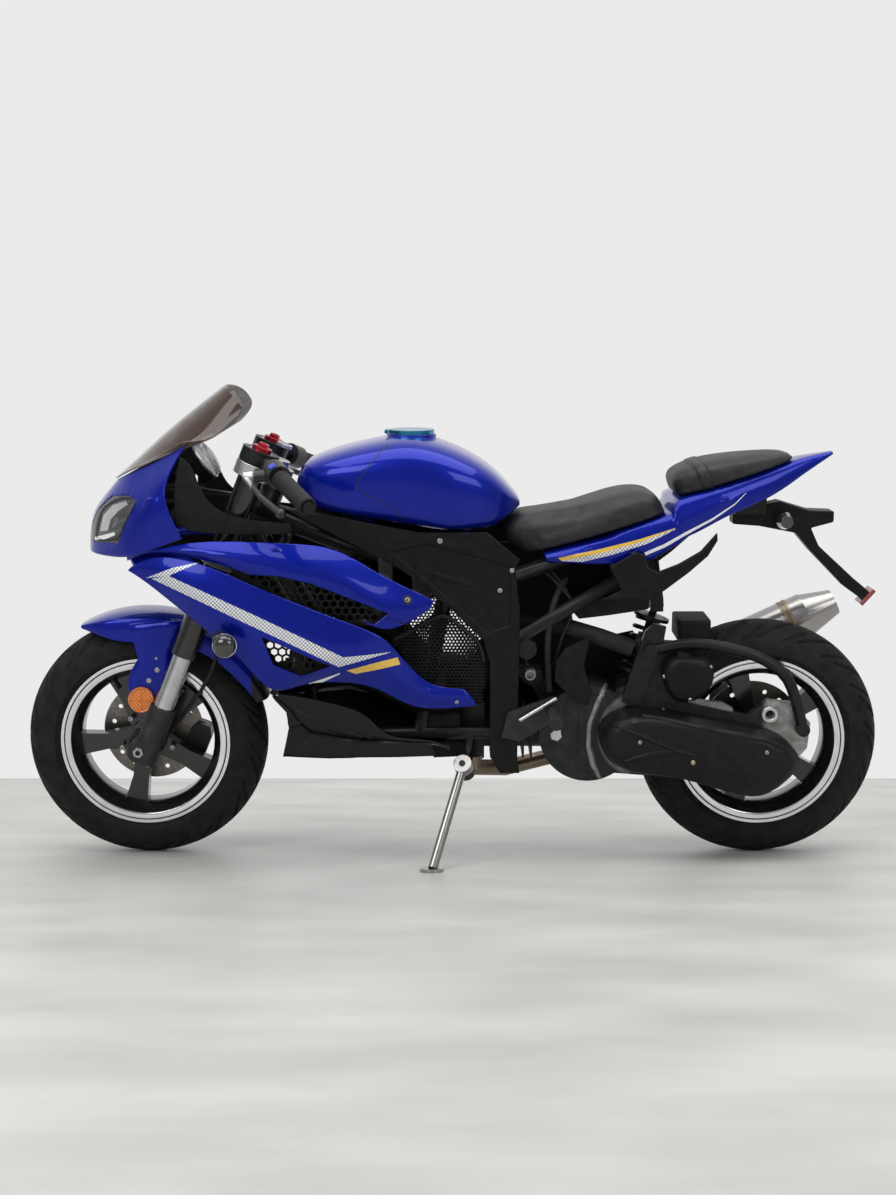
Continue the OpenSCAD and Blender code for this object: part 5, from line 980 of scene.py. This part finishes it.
def block(name, corners_px, near, far):
    """A moulded box between two planes along the bike, its near face given by two pixels."""
    a, b = (on_plane(*px, near) for px in corners_px)
    mid = (a + b) / 2
    v = []
    for y, k in ((near, BOX_TAPER), (near + (far - near) * BOX_EDGE_SHARE, 1.0), (far, 1.0)):
        for x, z in ((a[0], a[2]), (b[0], a[2]), (b[0], b[2]), (a[0], b[2])):
            v.append((mid[0] + (x - mid[0]) * k, y, mid[2] + (z - mid[2]) * k))
    f = [(3, 2, 1, 0), (8, 9, 10, 11)] + grid_faces(3, 4, False, True)
    o = solid(name, v, f, "chassis", MATT, "panel_black")
    modified(o, "edges", "BEVEL", width=BOX_BEVEL / 1000, segments=3)


block("battery_box", BATTERY_PX, *BATTERY_Y)
block("rear_box", BOX_PX, *BOX_Y)
solid("pedal_bar", *tube([on_plane(*q) for q in PEDAL_PX], PEDAL_R), "chassis", SILVER)

# Headlamps: a reflector ring under the lens, a light strip, a chrome film laid on the lens as a painted
# reflection, and a dark bezel
LAMP_PX, LAMP_RADII_PX, LAMP_SQUEEZE = (109, 519), (6.0, 9.0), 0.8
LAMP_STRIP_PX = [(95, 538), (105, 536.5), (115, 533)]
# Lines of pixels of the painted reflection: a chrome film on the lens where its sheen shows
LAMP_PAINTED_SHEEN_PX = ([(100, 531), (103.5, 515), (113, 504.5), (126, 500.5)],
                 [(108, 530), (111, 519), (118, 511), (128, 504)])
LAMP_EDGE_PX = [(138, 498.5), (128, 518), (118.5, 538.5), (106, 540), (96.5, 539), (98.5, 522), (103.5, 508),
                (115, 500), (126, 497.5), (138, 498.5)]
round_px = [(LAMP_SQUEEZE * math.cos(t), math.sin(t)) for t in np.linspace(0, 2 * math.pi, 33)]
rings_px = [np.array(LAMP_PX) + np.array(round_px) * r for r in LAMP_RADII_PX]
ribbon("lamp_ring", *rings_px, "headlamps", CHROME, "lamp_clear", -3.0, 48)
ribbon("lamp_strip", *band(LAMP_STRIP_PX, [3, 4.5, 3]), "headlamps", WHITE, "lamp_clear", 0.4)
# Painted reflection: a chrome film on the lens's surface standing for its sheen, no part of the lamp
ribbon("lamp_sheen", *LAMP_PAINTED_SHEEN_PX, "headlamps", CHROME, "lamp_clear", 0.4)
ribbon("lamp_bezel", *band(LAMP_EDGE_PX, [2.2, 2.2]), "headlamps", SEAM, "lamp_clear", 0.4, 120)

# Front indicators: smoked domes with a bright rim
INDICATOR_PX, INDICATOR_MOVE = (219, 641), (9, 0, -9)
DOME = ((0.6, 11), (7, 10.4), (13, 8.4), (18, 4.6), (21, -0.5), (21.6, -5))
DOME_RIM = ((21.6, -5), (22.8, -5.4), (23.4, -7.5), (22.6, -9.6), (18, -13), (10, -16), (4, -17))
seat = seat_at(*INDICATOR_PX, "indicators")[0] + INDICATOR_MOVE
for name, profile, material in (("indicator_domes", DOME, SMOKE), ("indicator_rims", DOME_RIM, CHROME)):
    solid(name, *both_sides(turned(profile, seat, (0, -1, 0))), "chassis", material)

# Amber reflectors: raised rims and a cross on the lens
REFLECTOR_PX, CROSS_R, CROSS_HALF = (141.0, 699.6), 1.3, 20
CROSS_SHARES = (-1, -0.3, 0.3, 1)
REFLECTOR_RIM = ((21.5, -0.5), (21.8, 1.2), (23, 1.9), (24.6, 1.6), (25.2, 0.2), (25.2, -3))
seat, out = seat_at(*REFLECTOR_PX, "fork_reflectors")
cross = [tube([seat + np.array(d) * k * CROSS_HALF for k in CROSS_SHARES], CROSS_R, 8)
         for d in ((1, 0, 0), (0, 0, 1))]
solid("reflector_rims", *both_sides(turned(REFLECTOR_RIM, seat, out), *cross), "steering", AMBER)

# Silver ring in the casting's eye, and the band round the muffler
EYE_X, EYE_Z, EYE_PX = 1220, 302, (781, 713)
EYE_RING = ((9, -3), (9, 6), (10, 7), (15, 7), (16.4, 5.6), (17, -3))
MUFFLER_AT, MUFFLER_TILT, BAND_AT = np.array((1099, 150, 344)), math.radians(25), 222
MUFFLER_BAND = ((44.6, -9), (46.4, -8.4), (46.8, -3), (45.7, -2), (45.7, 2), (46.8, 3), (46.4, 8.4),
                (44.6, 9))
seat = (EYE_X, seat_at(*EYE_PX, "engine_block")[0][1], EYE_Z)
solid("eye_ring", *turned(EYE_RING, seat, (0, -1, 0)), "chassis", SILVER)
axis = np.array((math.cos(MUFFLER_TILT), 0, math.sin(MUFFLER_TILT)))
solid("muffler_band", *turned(MUFFLER_BAND, MUFFLER_AT + axis * BAND_AT, axis, 72), "chassis", STAIN)

# Hoses and leads beside the frame, as a radius, and pixels with distances from the middle
HOSES = ((6.0, [(566, 578, -52), (558, 592, -74), (550, 617, -90), (548, 640, -95), (547.5, 657, -92),
                (549, 690, -78)]),
         (3.0, [(546, 572, -64), (560, 586, -74), (575, 601, -72), (590, 597, -60), (602, 588, -48)]),
         (3.0, [(549, 568, -58), (566, 590, -66), (571, 612, -72), (561, 640, -76), (553, 668, -66)]))
hoses = [tube([on_plane(*q) for q in line], r) for r, line in HOSES]
solid("engine_hoses", *joined(hoses), "chassis", RUBBER)

# White line along the tail's lower edge
TAIL_LINE_PX = [(645, 553.5), (665, 545), (684, 534), (713, 518.5), (735, 503.5), (746, 492.5)]
TAIL_LINE_W = [3.2, 3.2, 2.8, 2.2, 1.4, 0.5]
ribbon("tail_line", *band(TAIL_LINE_PX, TAIL_LINE_W), "tail_cowl", WHITE, "paint_blue")

# Fin bolts and valve stems
FIN_BOLTS_PX = ((617.5, 559.8), (633.5, 552.7))
VALVE_R, VALVE_Y, VALVE_TURN, VALVE_SPLAY = 140, -14, math.radians(118), (0, -0.35, 0)
for px in FIN_BOLTS_PX:
    stud_at(px, "tail_fins", 6, 2.5, SEAM, socket=0.55)
for body, x in WHEELS:
    way = np.array((math.cos(VALVE_TURN), 0, math.sin(VALVE_TURN)))
    root = np.array((x, VALVE_Y, AXLE_Z)) + way * VALVE_R
    stud(root, -way + VALVE_SPLAY, 3.2, 28, RUBBER, body, 16, socket=0, twin=False)

# Perforated guards: fine round holes in a flat plate, and a tube along its upper edge
GUARD_AT, GUARD_SIZE, GUARD_Y, GUARD_T = (484.6, 328.2), (190, 180), -116.5, 3.0
GUARD_SHARES = ((0.01, 0.72), (0.5, 1), (0.77, 0.84), (0.92, 0.68), (0.98, 0.48), (0.93, 0.02), (0.4, 0.2),
                (0.08, 0.62))
GUARD_PITCH, GUARD_HOLE_R, CELL_SIDES = 7.2, 2.3, 12
BAR_R, BAR_OUT, BAR_SHARE = 4.0, 4.5, 0.93


def inside(p, ring):
    """Whether a point lies within a ring of points."""
    odd = False
    for a, b in zip(ring, np.roll(ring, -1, 0)):
        if (a[1] > p[1]) != (b[1] > p[1]) and p[0] < (b[0] - a[0]) * (p[1] - a[1]) / (b[1] - a[1]) + a[0]:
            odd = not odd
    return odd


def guard_cell():
    """Points and faces of a six-sided cell with a round hole."""
    count = np.arange(CELL_SIDES)
    turn = count * 2 * math.pi / CELL_SIDES
    reach = np.where(count % 2, GUARD_PITCH / math.sqrt(3), GUARD_PITCH / 2)
    way = np.stack([np.cos(turn), np.sin(turn)], 1)
    following = (count + 1) % CELL_SIDES
    quads = np.stack([count, following, following + CELL_SIDES, count + CELL_SIDES], 1)
    return np.concatenate([way * reach[:, None], way * GUARD_HOLE_R]), quads.tolist()


def perforated(node):
    """A plate of cells inside the node's outline, and the tube along it."""
    ring = np.array(GUARD_AT) + np.array(GUARD_SHARES) * GUARD_SIZE
    row = GUARD_PITCH * math.sqrt(3) / 2
    cell, quads = guard_cell()
    parts = []
    for j in range(int(GUARD_SIZE[1] / row) + 1):
        for i in range(int(GUARD_SIZE[0] / GUARD_PITCH) + 1):
            mid = np.array(GUARD_AT) + ((i + 0.5 * (j % 2)) * GUARD_PITCH, j * row)
            if inside(mid, ring):
                p = mid + cell
                parts.append((np.stack([p[:, 0], np.full(len(p), GUARD_Y), p[:, 1]], 1), quads))
    o = solid("guard_plates", *both_sides(joined(parts)), BODY[node], BLACK, SLOTS[node], replaces=(node,))
    bm = bmesh.new()
    bm.from_mesh(o.data)
    bmesh.ops.remove_doubles(bm, verts=bm.verts, dist=1e-5)
    bm.to_mesh(o.data)
    bm.free()
    modified(o, "thick", "SOLIDIFY", thickness=GUARD_T / 1000, offset=0)
    centre = ring.mean(0)
    path = [centre + (p - centre) * BAR_SHARE for p in ring[:5]]
    bar = tube([(p[0], GUARD_Y - BAR_OUT, p[1]) for p in path], BAR_R)
    solid("guard_tubes", *both_sides(bar), BODY[node], FRAME, SLOTS[node])


perforated("perforated_guards")

# Dark inner panel under the seat and above the engine, a low one, and the bracket over the stand
INNER_PX = [(500, 541), (535, 545), (606, 556), (610, 588), (584, 603), (572, 614), (573, 622), (590, 627),
            (614, 634), (633, 630), (640, 642), (636, 690), (610, 712), (550, 712), (528, 705), (521, 640),
            (512, 580)]
LOW_PX = [(446, 666), (528, 655), (528, 714), (446, 718)]
BRACKET_PX = [(424, 742), (474, 741), (476, 755), (434, 757)]
INNER_Y, LOW_Y, BRACKET_Y = (62, 66), (76, 80), (-60, -20)


def plate(name, outline_px, near, far, material, slot):
    """A flat moulding between two planes along the bike, its outline given by pixels on the near one."""
    a = np.array([on_plane(px, py, near) for px, py in outline_px])
    m = len(a)
    f = [tuple(range(m)), tuple(range(2 * m - 1, m - 1, -1))]
    f += [(i, i + m, (i + 1) % m + m, (i + 1) % m) for i in range(m)]
    solid(name, np.concatenate([a, a + (0, far - near, 0)]), f, "chassis", material, slot, 20)


plate("inner_panel", INNER_PX, *INNER_Y, MATT, "panel_black")
plate("stand_bracket", BRACKET_PX, *BRACKET_Y, MATT, "panel_black")
plate("low_panel", LOW_PX, *LOW_Y, MATT, "panel_black")

# Lower front corner of the belly pan, drawn out to a point, and the ridge along it
LIP_IN_PX = [(273, 695), (290, 709), (301, 724), (312, 732), (345, 737), (400, 741), (434, 742.5)]
LIP_OUT_PX = [(276, 699), (287, 711), (289, 727), (283, 755.5), (330, 757.5), (400, 756), (440, 754.5)]
LIP_STEPS, LIP_INSET, LIP_ROWS, LIP_T = 10, 6, 5, 3
BELLY_RIDGE_PX = [(296, 710), (312, 719), (330, 727), (350, 733), (372, 737)]


def in_steps(line):
    """Points that divide each stretch of a line of pixels alike."""
    p = np.array(line, float)
    return [a * (1 - t) + b * t for a, b in zip(p, p[1:]) for t in np.arange(LIP_STEPS) / LIP_STEPS]


inner, outer = [], []
for p, q in zip(in_steps(LIP_IN_PX), in_steps(LIP_OUT_PX)):
    hit = at_pixel(*p, "belly_pan")
    if hit:
        inner.append(bike([hit[0]])[0])
        outer.append(on_plane(*q, inner[-1][1] + LIP_INSET))
a, b = np.array(inner), np.array(outer)
sheet("belly_lip", [a * (1 - t) + b * t for t in np.linspace(0, 1, LIP_ROWS)], WEAVE, "panel_grey", LIP_T)
ribbon("belly_ridge", *band(BELLY_RIDGE_PX, [2, 4, 5, 4, 1]), "belly_pan", WEAVE, "panel_grey",
       0.1, 60, 6, True, 2.5)

# Instrument: a bright ring and a clear dome over the dial
GAUGE_AT, GAUGE_TILT, GAUGE_T = np.array((105, 0, 775)), math.radians(55), 24
GAUGE = (("gauge_dome", ((38, 0), (38, 6), (35.5, 12), (30, 16), (20, 18.6), (8, 19.6), (0.5, 19.8)), GLASS),
         ("gauge_ring", ((40, -3), (41.2, -2), (41.2, 1), (40, 2), (37.5, 2.2)), SILVER),
         ("gauge_dial", ((37, 0.3), (20, 0.3), (0.5, 0.3)), WHITE))
axis = np.array((math.sin(GAUGE_TILT), 0, math.cos(GAUGE_TILT)))
for name, profile, material in GAUGE:
    solid(name, *turned(profile, GAUGE_AT + axis * GAUGE_T, axis), BODY["instrument"], material)

# Bare alloy on the engine: the case's joint, a rail under the filter case, an oil plug and a cup
JOINT_PX = [(606, 684), (598, 703), (590, 724), (589, 745), (593, 764), (601, 780)]
RAIL_PX = [(688, 699.5), (722, 702), (733, 708), (733, 713), (700, 709), (690, 707)]
RAIL_MID_PX, RAIL_OUT, RAIL_IN = (710, 706), 4, 12
OIL_PLUG_PX, CUP_PX = (556, 734), (530, 673, -86)
ribbon("case_joint", *band(JOINT_PX, [5, 6, 6, 6, 6, 4]), "engine_block", ALLOY, "cast_alloy",
       0.2, 60, 6, False, 3.0)
y = seat_at(*RAIL_MID_PX, "drive_case", "engine_block", "air_filter_case")[0][1]
plate("alloy_rail", RAIL_PX, y - RAIL_OUT, y + RAIL_IN, ALLOY, "cast_alloy")
stud_at(OIL_PLUG_PX, "engine_block", 13, 8, SILVER, sides=6, twin=False, socket=0)
stud(on_plane(*CUP_PX), (0, -1, 0), 12, 14, ALLOY, "chassis", twin=False, socket=0.6)

for (body, material), parts in HARD.items():
    solid("hardware_%s_%s" % (body, material), *joined(parts), body, bpy.data.materials[material], None, 40)

# Floor
FLOOR_HALF, FLOOR_END = 7, 1.43
corners = [(-FLOOR_HALF, -FLOOR_HALF, 0), (FLOOR_HALF, -FLOOR_HALF, 0), (FLOOR_HALF, FLOOR_END, 0),
           (-FLOOR_HALF, FLOOR_END, 0)]
me = bpy.data.meshes.new("floor")
me.from_pydata(corners, [], [(0, 1, 2, 3)])
floor = linked("floor", me)
slab = Mat("floor_concrete")
streak = slab.noise(2.2, 8, (1, 2.5, 1))
slab.set("Base Color", slab.ramp(streak, (0.32, (0.43, 0.42, 0.405)), (0.68, (0.55, 0.54, 0.52))))
slab.rough(5, 0.32, 0.6, 5)
slab.bump(slab.noise(40, 6), 0.06, 0.002)
me.materials.append(slab.mat)
